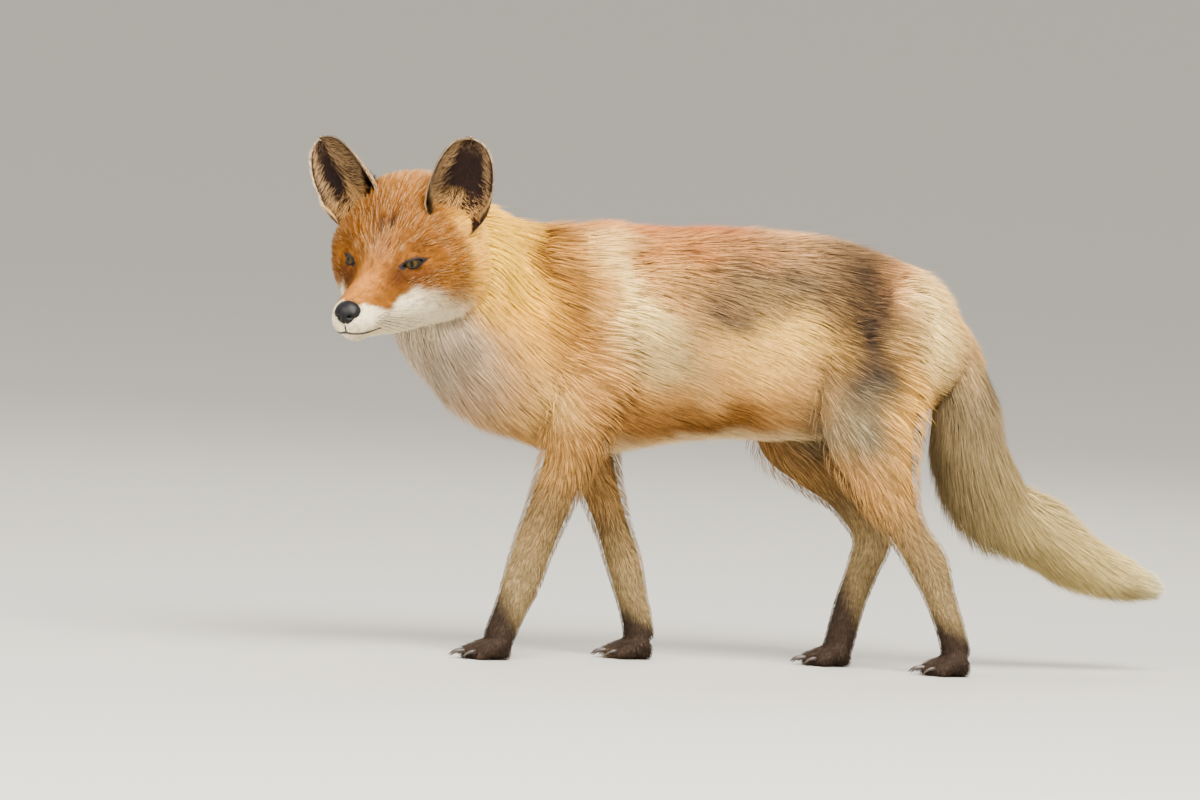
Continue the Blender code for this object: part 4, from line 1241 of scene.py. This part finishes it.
def coat_fields(points):
    """Lie, depth of coat, place in the unwrap, number of the main limb, and the limbs' shares."""
    found, shares = places(points)
    lie = np.zeros_like(points)
    depth = np.zeros(len(points))
    # The trunk's path runs from rump to neck, so its hair lies against it.
    trunk_lie = -LIMBS["trunk"]["along"][found["trunk"][3]]
    for name, record in LIMBS.items():
        way, _, _, near = found[name]
        sign = -1.0 if name == "trunk" else 1.0
        way_down = smooth(0.05, 0.50, way) if name in LEGS else np.ones(len(points))
        own = record["along"][near] * sign + np.array((0, 0, -DROOP[name]))
        back = trunk_lie + np.array((0, 0, -0.25))
        lie += shares[name][:, None] * (back + (own - back) * way_down[:, None])
        depth += shares[name] * record["coat"][near]
    h = to_head(points)
    # On the face the hair fans out from the nose, and under the jaw it hangs.
    face = shares["head"] * smooth(11.0, 7.0, h[:, 0])
    fan = unit(h - np.array((0.5, 0.0, -0.2))) * np.array((1, 0.9, 0.7))
    lie = lie * (1 - face[:, None]) + (fan @ HEAD_AXES) * face[:, None]
    hang = shares["head"] * smooth(6.0, 10.0, h[:, 0]) * smooth(1.0, -2.0, h[:, 2])
    lie = lie + np.array((0, 0, -0.8)) * hang[:, None]
    depth = depth + 0.0012 * hang
    # Hair shortens towards the eyes, the nose and the lips, down to LEAST_COAT.
    clear = smooth(0.0, 1.7, slit_distance(h)[0]) * smooth(0.9, 2.0, nose_distance(h))
    clear = clear * smooth(0.0, 0.6, lip_distance(h))
    face_depth = LEAST_COAT + (depth - LEAST_COAT) * (0.15 + 0.85 * clear)
    depth = depth * (1 - shares["head"]) + shares["head"] * face_depth
    main = np.stack(list(shares.values()), axis=1).argmax(axis=1)
    return unit(lie), depth, unwrap(found, main), main, shares


print("lie of the coat ready")

# %% [markdown]
# Roots are scattered over the skin's triangles. A triangle's chance of a root is its area times how dense
# the hair should be there, so the small hairs of the face stand closer than the long ones of the body.

# %% Scatter


def triangles_of(mesh):
    """The mesh's triangles, as rows of three point numbers."""
    mesh.calc_loop_triangles()
    return rows_of(mesh.loop_triangles, "vertices", np.int32)


def vertex_normals(mesh):
    """The skin's own direction outwards at each point."""
    return rows_of(mesh.vertex_normals, "vector")


def areas_of(points, triangles):
    """Each triangle's area: half the length of the cross product of two sides."""
    a, b, c = (points[triangles[:, i]] for i in range(3))
    return np.linalg.norm(np.cross(b - a, c - a), axis=1) / 2


def scatter(points, normals, triangles, weight, count, seed):
    """count roots: corner a plus shares of the two sides, with the shares folded into the triangle."""
    rng = np.random.default_rng(seed)
    chance = np.cumsum(areas_of(points, triangles) * weight)
    pick = np.searchsorted(chance, rng.random(count) * chance[-1])
    s, t = rng.random((2, count))
    fold = s + t > 1
    s, t = np.where(fold, 1 - s, s)[:, None], np.where(fold, 1 - t, t)[:, None]
    a, b, c = (points[triangles[pick, i]] for i in range(3))
    root = a + (b - a) * s + (c - a) * t
    corner = normals[triangles[pick]]
    return root, unit(corner[:, 0] * (1 - s - t) + corner[:, 1] * s + corner[:, 2] * t)


skin_normals = vertex_normals(skin.data)
skin_triangles = triangles_of(skin.data)
print("skin triangles:", len(skin_triangles))

# %% [markdown]
# ## The coat, region by region
#
# Length and width of a tuft follow the depth of the coat: about twice as long as the coat is deep, and
# some seven tenths of a millimetre wide on the body, half of that on the face and feet. Roots are darker
# than the hair above them, and each tuft is a little lighter or darker than its neighbours. In the
# saddle, the hip and the shoulder many tips are dark.

# %% Ground to grow on
QUICK = 1.0  # share of the tufts that are grown
SOLE = 0.0012  # m over the floor
lid_points, lid_normals = mesh_points(lids.data), vertex_normals(lids.data)
lid_triangles = triangles_of(lids.data)
ground_points = np.vstack([skin_points, lid_points])
ground_normals = np.vstack([skin_normals, lid_normals])
ground_triangles = np.vstack([skin_triangles, lid_triangles + len(skin_points)])
on_lid = np.arange(len(ground_triangles)) >= len(skin_triangles)
centres = ground_points[ground_triangles].mean(axis=1)
centre_normals = ground_normals[ground_triangles].mean(axis=1)
_, centre_depth, _, centre_limb, _ = coat_fields(centres)
centre_h = to_head(centres)
areas = areas_of(ground_points, ground_triangles)


def hair_size(depth):
    """Length, 2.2 mm and 2.05 times the coat's depth, and width, 0.28 mm and 0.027 times the depth."""
    return 0.0022 + depth * 2.05, np.clip(0.00028 + depth * 0.027, 0.0003, 0.00085)


# Lids are bare at their margin, and only their outer side has hair. Nose leather, lips and soles have none.
bare = (bare_skin(centre_h) > 0.45) | (lip_distance(centre_h) < 0.13) | (nose_distance(centre_h) <= 1.03)
side_out = np.where(centre_h[:, 1:2] > 0, lid_axes(1)[0], lid_axes(-1)[0]) @ HEAD_AXES
inner_side = on_lid & (np.sum(centre_normals * side_out, axis=1) < 0.15)
hidden = np.zeros(len(centres), bool)
hidden[: len(skin_triangles)] = under_lids[skin_triangles].any(axis=1)
open_ground = ~(bare | inner_side | hidden) & (centres[:, 2] > SOLE)
hair_length, hair_width = hair_size(centre_depth)
density = open_ground / (hair_length * hair_width)
print("ground triangles:", len(centres), "area", round(float(areas[open_ground].sum()), 3), "m2")

# %% Regions of the coat
limb_names = np.array(list(LIMBS))[centre_limb]
on_head, on_trunk = limb_names == "head", limb_names == "trunk"
on_face = on_head & (centre_h[:, 0] < 8.8)
left = centre_h[:, 1] > 0
x = side_view(centres)[:, 0]
REGIONS = {  # which triangles, and how many tufts
    "fur_face_left": (on_face & left, 26000),
    "fur_face_right": (on_face & ~left, 21000),
    "fur_head_left": (on_head & ~on_face & left, 19000),
    "fur_head_right": (on_head & ~on_face & ~left, 16000),
    "fur_neck": (on_trunk & (x < -0.215), 23000),
    "fur_shoulder": (on_trunk & (x >= -0.215) & (x < -0.105), 22000),
    "fur_flank": (on_trunk & (x >= -0.105) & (x < 0.03), 24000),
    "fur_rump": (on_trunk & (x >= 0.03), 22000),
    "fur_forelegs": (np.char.startswith(limb_names, "fore"), 21000),
    "fur_hindlegs": (np.char.startswith(limb_names, "hind"), 22000),
    "fur_tail": (limb_names == "tail", 23000),
}
print({name: round(float(areas[mine].sum()), 4) for name, (mine, _) in REGIONS.items()})

# %% [markdown]
# A tuft's tones are those of the place where most of it is seen. Each lock has a shade of its own, and so
# has each tuft. By lot, some tips are dark where the coat is grizzled, some hairs of the crown are brown
# or pale, and one hair in twenty stands loose.

# %% Grow
WHITEST = 0.97  # share of the light that the whitest hair returns
LOCK_CELL, LOCK_SEED = 0.0042, 41


def within(colour):
    """Scales a colour down as a whole where it is brighter than the whitest hair, so that its hue stays."""
    return colour * np.minimum(1.0, WHITEST / colour.max(axis=1))[:, None]


def tuft_tones(roots, seen, outer, head_share, rng):
    """Root, waist and tip colours: the place's own, shaded by lock and tuft, then dark or pale by lot."""
    count = len(roots)
    base = markings(outer)
    group = locks(roots, LOCK_CELL, LOCK_SEED)
    by_lock = rng.normal(0, 0.13, group.max() + 1)[group]
    by_tuft = rng.normal(0, 0.12, count) * (1 + 0.5 * head_share)
    shade = 1 + by_tuft + by_lock + 0.06 * ripple(roots, 0.010, 31)
    base = within(base * np.clip(shade, 0.6, 1.5)[:, None])
    root_tone = base * (0.70, 0.68, 0.68)
    tip_tone = within(base * (1.10, 1.11, 1.15))
    lot = rng.random(count)
    dark = (lot < grizzle(seen) * (1 - head_share))[:, None]
    tip_tone = np.where(dark, tone(3.5, 2.2, 1.4), tip_tone)
    base = np.where(dark, base * 0.55, base)
    h = to_head(roots)
    crown = (head_share > 0.5) & (h[:, 0] > 6.5) & (h[:, 2] > -1.0) & (slit_distance(h)[0] > 1.1)
    lot = (lot + rng.random(group.max() + 1)[group] * 0.5) % 1.0
    brown = (crown & (lot < 0.16))[:, None]
    base, tip_tone = (np.where(brown, c * (0.45, 0.40, 0.40), c) for c in (base, tip_tone))
    light = (crown & (lot > 0.86) & (base[:, 0] > 0.07))[:, None]
    tip_tone = np.where(light, blend(tip_tone, tone(92, 66, 32), np.full(count, 0.5)), tip_tone)
    pale = ((lot > 0.93) & (head_share < 0.5))[:, None]
    tip_tone = np.where(pale, within(tip_tone * 1.45 + (0.03, 0.024, 0.012)), tip_tone)
    return root_tone, base, tip_tone


def grow(roots, normals, seed):
    """Everything that tuft_object needs of the hair at each root."""
    lie, depth, uv, _, shares = coat_fields(roots)
    rng = np.random.default_rng(seed)
    count = len(roots)
    length, width = hair_size(depth)
    on_leg = sum(shares[name] for name in LEGS)
    length = length * rng.uniform(0.8, 1.2, count) * (1 - 0.28 * on_leg)
    width = width * rng.uniform(0.75, 1.25, count)
    seen = roots + (unit(lie) * 0.6 * length[:, None]) * (1 - 0.5 * shares["head"][:, None])
    tones = tuft_tones(roots, seen, seen + normals * depth[:, None] * 0.6, shares["head"], rng)
    height = depth * rng.uniform(0.72, 1.0, count)
    loose = rng.random(count) < 0.05
    height = np.where(loose, height * 1.3 + 0.0006, height)
    width = np.where(loose, width * 0.6, width)
    return lie, length, width, height, tones, uv


# The size of a lock in metres, how far tips are drawn together, and how far hairs stray in radians.
COARSE = {"cell": 0.0065, "pull": 0.28, "stray": 0.07}
FINE = {"cell": 0.003, "pull": 0.15, "stray": 0.10}
coat = []
for index, (name, (mine, most)) in enumerate(REGIONS.items()):
    chance, count = density * mine, int(most * QUICK)
    roots, normals = scatter(ground_points, ground_normals, ground_triangles, chance, count, 100 + index)
    hair = grow(roots, normals, 200 + index)
    style = FINE if "face" in name else COARSE
    coat.append(tuft_object(name, roots, normals, hair, 300 + index * 10, **style))

# %% [markdown]
# ## Hair of the ears
#
# The back of an ear wears short dark velvet. Its rim has a pale fringe, and inside the cup long pale
# hairs grow beside the hollow, whose dark hair is painted shade, with tawny ones at its foot. Their
# roots lie on the leaf's own grid.
# A straight hair would dive into the cup's wall, so its tip rises by its length squared over twice the
# cup's radius.

# %% Kinds of ear hair
EAR_TUFTS = 8600  # on each ear
EAR_TUFT_WIDTH = 0.00045
EAR_CUP_RADIUS = 0.018
# The dark band inside each cup is painted shade of the ear's hollow; it is wider in the left ear.
EAR_HOLLOW_SHADE = {"left": (-0.86, 0.50), "right": (-0.82, -0.02)}  # the dark band, as places across


def back_hair(at, rng):
    """Velvet: dark, tawny at the foot and the edges, and shorter towards tip and edges."""
    out, climb, _, height, across, _ = at
    edge = np.abs(across)
    length = (0.0055 + 0.002 * rng.random(len(edge))) * (0.3 + 0.7 * smooth(1.0, 0.8, height))
    length = length * (1 - 0.6 * smooth(0.6, 0.95, edge))
    colour = blend(EAR_DARK, tone(50, 24, 8), smooth(0.50, 0.10, height) * 0.95)
    tawny = smooth(0.30, 0.85, edge) * smooth(0.95, 0.5, height)
    return out, climb, length, blend(colour, tone(36, 22, 11), tawny * 0.85), np.full(len(edge), 0.0012)


def cup_hair(at, rng):
    """Hair inside: short over the hollow and near black there as painted shade, long and pale beside it,
    swept towards the middle.
    """
    out, climb, to_inner, height, across, (low, high) = at
    count = len(across)
    swept = 0.35 + 0.40 * smooth(0.2, 0.7, height)
    inwards = 0.8 * np.sign(across) * smooth(0.1, 0.5, np.abs(across))
    lie = climb * swept[:, None] - to_inner * inwards[:, None]
    ragged = across + rng.normal(0, 0.10, count)
    beside = smooth(high - 0.15, high + 0.25, ragged) + smooth(low + 0.10, low - 0.15, ragged)
    pale = np.clip(beside, 0, 1)
    foot = smooth(0.34, 0.08, height)
    length = (0.004 + 0.010 * pale) * (0.3 + 0.7 * smooth(1.0, 0.6, height)) + 0.007 * foot
    streak = np.where(rng.random(count)[:, None] < 0.42, tone(7, 4, 1.9), tone(28, 17, 8))
    # Painted shade: the hair over the hollow is near black.
    colour = blend(tone(0.9, 0.6, 0.5), streak, pale)
    colour = blend(colour, tone(13, 8, 4), smooth(0.70, 0.92, height) * 0.6)
    colour = blend(colour, tone(52, 28, 9), foot * (rng.random(count) < 0.6) * 0.8)
    depth = 0.0008 + 0.0022 * rng.random(count) * pale + (length * 0.75) ** 2 / (2 * EAR_CUP_RADIUS)
    return -out, lie, length, colour, depth


def rim_hair(at, rng):
    """The fringe: pale hairs and dark ones, longer at the foot."""
    out, climb, to_inner, height, across, _ = at
    count = len(across)
    lie = climb * 0.8 + to_inner * (np.sign(across) * 0.5 * (np.abs(across) > 0.9))[:, None]
    foot = smooth(0.42, 0.05, height)
    length = (0.003 + 0.002 * rng.random(count)) * (0.45 + 0.55 * smooth(1.0, 0.85, height)) + 0.012 * foot
    colour = blend(tone(50, 37, 22), tone(9, 6, 4), rng.random(count) < 0.40)
    colour = blend(colour, tone(56, 32, 12), foot * 0.8)
    depth = 0.0006 * (rng.random(count) - 0.3) + 0.002 * foot * rng.random(count)
    return -out, lie, length, colour, depth


print("tufts on each ear:", EAR_TUFTS)

# %% [markdown]
# Roots are drawn from the leaf's cells, by area behind and inside and by length along the rim.

# %% Ear hair
EAR_UNWRAP = {"left": (0.47, 0.40), "right": (0.47, 0.53)}  # the corner of each ear's patch


def ear_hair(name, leaf, seed):
    """Roots, normals and hair of one ear: the velvet behind, the hair inside and the fringe on the rim."""
    middle, out, t, place = leaf
    rng = np.random.default_rng(seed)
    rows, columns = t.shape
    climb, sweep = np.gradient(middle, axis=0), np.gradient(middle, axis=1)
    to_inner = unit(sweep) * np.sign(place[0, -1] - place[0, 0])
    area = np.linalg.norm(np.cross(climb, sweep), axis=-1) * (t > -0.02)
    edge = np.abs(place)
    sides = (edge > 0.93) * (t > 0) * np.linalg.norm(climb, axis=-1)
    rim = sides + (t > 0.985) * np.linalg.norm(sweep, axis=-1)
    groups = []
    for kind, share, weight, lift in (
        (back_hair, 0.34, area, EAR_WALL / 2),
        (cup_hair, 0.44, area * (0.5 + 0.8 * smooth(0.3, 0.9, edge)), EAR_WALL / 2),
        (rim_hair, 0.22, rim, 0.0),
    ):
        count = int(EAR_TUFTS * share * QUICK)
        chance = np.cumsum(weight.ravel())
        index = np.minimum(np.searchsorted(chance, rng.random(count) * chance[-1]), weight.size - 1)
        i, j = np.divmod(index, columns)
        i2, j2 = np.minimum(i + 1, rows - 1), np.minimum(j + 1, columns - 1)
        s, u = rng.random((2, count, 1))
        spot = middle[i, j] + (middle[i2, j] - middle[i, j]) * s + (middle[i, j2] - middle[i, j]) * u
        height, across = t[i, j], place[i, j]
        at = (out[i, j], unit(climb[i, j]), to_inner[i, j], height, across, EAR_HOLLOW_SHADE[name])
        normal, lie, length, colour, depth = kind(at, rng)
        root = from_head(spot + normal * lift)
        groups.append((root, normal @ HEAD_AXES, lie @ HEAD_AXES, length, depth, colour, height, across))
    root, normal, lie, length, depth, colour, height, across = map(np.concatenate, zip(*groups))
    shade = np.clip(1 + rng.normal(0, 0.15, len(root)), 0.5, 1.6)
    colour = np.clip(colour * shade[:, None], 0, WHITEST)
    tones = (colour * 0.65, colour, np.clip(colour * 1.12, 0, 1))
    corner_x, corner_y = EAR_UNWRAP[name]
    uv = np.stack([corner_x + 0.10 * np.clip(height, 0, 1), corner_y + 0.10 * (across / 2 + 0.5)], axis=1)
    return root, normal, (unit(lie), length, EAR_TUFT_WIDTH, depth, tones, uv)


for index, (name, leaf) in enumerate(ear_leaves.items()):
    root, normal, hair = ear_hair(name, leaf, 60 + index)
    seed = 500 + index * 10
    coat.append(tuft_object("fur_ear_" + name, root, normal, hair, seed, cell=0.003, pull=0.2, stray=0.12))
print("coat pieces:", len(coat), "triangles:", sum(len(piece.data.polygons) for piece in coat))

# %% [markdown]
# ## Colours of skin and ears
#
# The skin wears the coat's markings, a little darker, because what shows between the tufts is their shaded
# underfur.

# %% Skin colours
EAR_BLOCK = 2000  # points of the ears looked at together
colour_points(skin.data, skin_tones(skin_points, 0.6))
ear_points = to_head(mesh_points(ears.data))
ear_middle, ear_out = (
    np.concatenate([leaf[item].reshape(-1, 3) for leaf in ear_leaves.values()]) for item in (0, 1)
)
nearest = np.concatenate([
    ((ear_points[first : first + EAR_BLOCK, None] - ear_middle[None]) ** 2).sum(axis=-1).argmin(axis=1)
    for first in range(0, len(ear_points), EAR_BLOCK)
])
behind = np.sum((ear_points - ear_middle[nearest]) * ear_out[nearest], axis=1) > 0
# Painted shade: the skin inside the cup is near black, darker than the black back of the ear.
colour_points(ears.data, blend(tone(1.6, 0.8, 0.6), EAR_DARK, behind * 1.0))
print("skin coloured")

# %% [markdown]
# ## Finishes
#
# Coat and skin share one recipe: the stored colour, broken up by fine noise, on a rather rough surface with
# little shine, so that the colour stays deep. Leather, claws and eyes get their own.

# %% Materials


def set_inputs(node, **values):
    """Sets a node's inputs by name, with _ for each space. Gives the node back."""
    for name, value in values.items():
        node.inputs[name.replace("_", " ")].default_value = value
    return node


def times_noise(tree, place, colour, scale, low, high):
    """The colour times a number from low to high that follows a fine noise."""
    grain = set_inputs(tree.nodes.new("ShaderNodeTexNoise"), Scale=scale, Detail=3)
    tree.links.new(place, grain.inputs["Vector"])
    span = tree.nodes.new("ShaderNodeMapRange")
    set_inputs(span, From_Min=0.3, From_Max=0.7, To_Min=low, To_Max=high)
    tree.links.new(grain.outputs["Fac"], span.inputs["Value"])
    mix = tree.nodes.new("ShaderNodeMix")
    mix.data_type = "RGBA"
    mix.blend_type = "MULTIPLY"
    set_inputs(mix, Factor=1.0)
    tree.links.new(colour, mix.inputs["A"])
    tree.links.new(span.outputs["Result"], mix.inputs["B"])
    return mix.outputs["Result"]


def grained(tree, place, scale, strength, distance):
    """A normal raised in small round grains: the distance from the nearest of many scattered points."""
    pattern = set_inputs(tree.nodes.new("ShaderNodeTexVoronoi"), Scale=scale)
    tree.links.new(place, pattern.inputs["Vector"])
    raised = set_inputs(tree.nodes.new("ShaderNodeBump"), Strength=strength, Distance=distance)
    tree.links.new(pattern.outputs["Distance"], raised.inputs["Height"])
    return raised.outputs["Normal"]


def finish(name, layer=None, base=(0.5, 0.5, 0.5), rough=0.7, shine=0.5, gloss=0.0, noise=None, bump=None):
    """A Principled finish: one colour, or a stored one times noise, and a bump, on Object coordinates."""
    made = bpy.data.materials.new(name)
    made.use_nodes = True
    tree = made.node_tree
    shader = set_inputs(tree.nodes["Principled BSDF"], Base_Color=(*base, 1), Roughness=rough)
    set_inputs(shader, Specular_IOR_Level=shine, Coat_Weight=gloss, Coat_Roughness=0.04)
    place = tree.nodes.new("ShaderNodeTexCoord").outputs["Object"]
    if layer:
        stored = tree.nodes.new("ShaderNodeAttribute")
        stored.attribute_name = layer
        colour = stored.outputs["Color"]
        colour = times_noise(tree, place, colour, *noise) if noise else colour
        tree.links.new(colour, shader.inputs["Base Color"])
    if bump:
        tree.links.new(grained(tree, place, *bump), shader.inputs["Normal"])
    return made


# noise is its scale, lowest and highest value; bump is its scale, strength and depth in metres.
FUR = finish("fox_fur", "coat", rough=0.65, shine=0.05, noise=(260, 0.85, 1.10))
SKIN = finish("fox_skin", "coat", rough=0.75, shine=0.05, noise=(500, 0.7, 1.15), bump=(900, 0.3, 0.0004))
LIDS = finish("fox_lids", "coat", rough=0.70, shine=0.10, noise=(700, 0.8, 1.1), bump=(1500, 0.25, 0.0002))
LEATHER = finish("nose_leather_black", "leather", rough=0.38, shine=0.20, bump=(1300, 0.5, 0.0003))
LIP = finish("lip_black", base=tuple(tone(1.2, 0.8, 0.8)), rough=0.4)
EYE = finish("eye_amber", "eye", rough=0.15, shine=0.05, gloss=0.18)
CLAW = finish("claw_horn", base=tuple(tone(3.2, 2.2, 1.7)), rough=0.35, bump=(900, 0.2, 0.0002))
WHISKER = finish("whisker_black", base=tuple(tone(1.5, 1.0, 0.9)), rough=0.4)


def dress(obj, material):
    """Gives a piece its one material."""
    obj.data.materials.clear()
    obj.data.materials.append(material)


for piece in coat:
    dress(piece, FUR)
for piece, material in (
    (skin, SKIN), (ears, SKIN), (lids, LIDS), (nose, LEATHER), (lips, LIP), (claws, CLAW),
    (eye_left, EYE), (eye_right, EYE), (whiskers, WHISKER),
):
    dress(piece, material)
print("finishes:", len(bpy.data.materials))

# %% [markdown]
# ## What each piece stands for
#
# The skin replaces every solid of flesh, the ears, eyes and nose replace their own, and everything rides on
# the fox's one body.

# %% Ride and replace
LEG_SOLIDS = (("shoulder", "forearm", "forepaw"), ("thigh", "shank", "hindpaw"))
LEG_FLESH = [f"{part}_{side}" for leg in LEG_SOLIDS for side in ("left", "right") for part in leg]
FLESH = ("head", "lower_jaw", "neck", "trunk", *LEG_FLESH, "tail_root", "tail_brush", "tail_tip")
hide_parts(*FLESH)
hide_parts("ear_left", "ear_right")
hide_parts("eye_left")
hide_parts("eye_right")
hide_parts("nose")
for piece in (*coat, skin, lids, ears, eye_left, eye_right, nose, lips, claws, whiskers):
    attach(piece, "root")

# %% [markdown]
# ## Studio
#
# The fox stands on a wide pale floor. Far off it rises very gently on every side, so it fills the view from
# anywhere without a wall. Its height is DISH_RISE times the square of the distance beyond FLAT_REACH.

# %% Floor
FLAT_REACH, DISH_RISE = 13.0, 0.011  # m, and metres of rise for each square metre beyond
FLOOR_REACH, FLOOR_LINES = 32, 65
floor_line = np.linspace(-FLOOR_REACH, FLOOR_REACH, FLOOR_LINES)
floor_x, floor_y = np.meshgrid(floor_line, floor_line)
floor_z = DISH_RISE * np.maximum(np.hypot(floor_x, floor_y) - FLAT_REACH, 0) ** 2
floor_points = np.stack([floor_x, floor_y, floor_z], axis=-1).reshape(-1, 3)
floor_faces = grid_quads(FLOOR_LINES, FLOOR_LINES, columns_join=False)
floor_mesh = bpy.data.meshes.new("floor")
floor_mesh.from_pydata(floor_points.tolist(), [], floor_faces.tolist())
floor_mesh.shade_smooth()
floor = placed("floor", floor_mesh)
dress(floor, finish("studio_floor", base=tuple(tone(38, 37, 34)), rough=0.9))
print("floor faces:", len(floor_mesh.polygons))

# %% [markdown]
# A broad warm light hangs above, on the fox's left. A second one, ahead and lower, fills the shadows, and a
# weak one on the far side draws a bright edge along the back. The sky around is pale, as in a white room.

# %% Lights


def area_light(name, place, aim, size, power, colour):
    """A round light at a place, turned to aim. Size is in metres and power in watts."""
    light = bpy.data.lights.new(name, "AREA")
    light.shape = "DISK"
    light.size = size
    light.energy = power
    light.color = colour
    obj = placed(name, light)
    obj.location = place
    obj.rotation_euler = (Vector(place) - Vector(aim)).to_track_quat("Z", "Y").to_euler()


area_light("key", (0.3, -2.4, 3.0), (0, 0, 0.25), 2.4, 590, (1.0, 0.95, 0.86))
area_light("fill", (-2.8, -2.4, 1.6), (0, 0, 0.2), 2.6, 200, (1.0, 0.96, 0.90))
area_light("rim", (0.9, 2.4, 2.4), (0, 0, 0.3), 2.0, 70, (1.0, 0.97, 0.92))
world = bpy.data.worlds.new("studio")
world.use_nodes = True
set_inputs(world.node_tree.nodes["Background"], Color=(0.92, 0.88, 0.82, 1), Strength=1.5)
bpy.context.scene.world = world
print("lights:", len(bpy.data.lights))

# %% [markdown]
# The camera stands far off on the fox's left, with a long lens, as one watches a fox: a little ahead of
# it, a little above its back, and leaning very slightly.

# %% Camera
CAMERA_TURN, CAMERA_RISE, CAMERA_LEAN = math.radians(-12), math.radians(2.5), math.radians(3)
VIEW_WIDTH, DISTANCE = 1.062, 8.0  # m: what the picture spans at the fox, and how far off the camera is
AIM_RIGHT, AIM_UP = -0.03796, 0.22968  # m from the stations' zero to the middle of the picture
FILM_WIDTH = 36
to_camera = np.array((
    math.sin(CAMERA_TURN) * math.cos(CAMERA_RISE),
    -math.cos(CAMERA_TURN) * math.cos(CAMERA_RISE),
    math.sin(CAMERA_RISE),
))
right = np.array((math.cos(CAMERA_TURN), math.sin(CAMERA_TURN), 0.0))
above = np.cross(to_camera, right)
aim = right * AIM_RIGHT + above * AIM_UP + BODY_SHIFT
lens = bpy.data.cameras.new("camera")
lens.sensor_width = FILM_WIDTH
lens.lens = FILM_WIDTH * DISTANCE / VIEW_WIDTH
lens.clip_end = 60
camera = placed("camera", lens)
axes = np.eye(4)
axes[:3, 0] = right * math.cos(CAMERA_LEAN) + above * math.sin(CAMERA_LEAN)
axes[:3, 1] = above * math.cos(CAMERA_LEAN) - right * math.sin(CAMERA_LEAN)
axes[:3, 2] = to_camera
axes[:3, 3] = aim + to_camera * DISTANCE
camera.matrix_world = Matrix(axes.tolist())
bpy.context.scene.camera = camera
print("camera at", (aim + to_camera * DISTANCE).round(3))
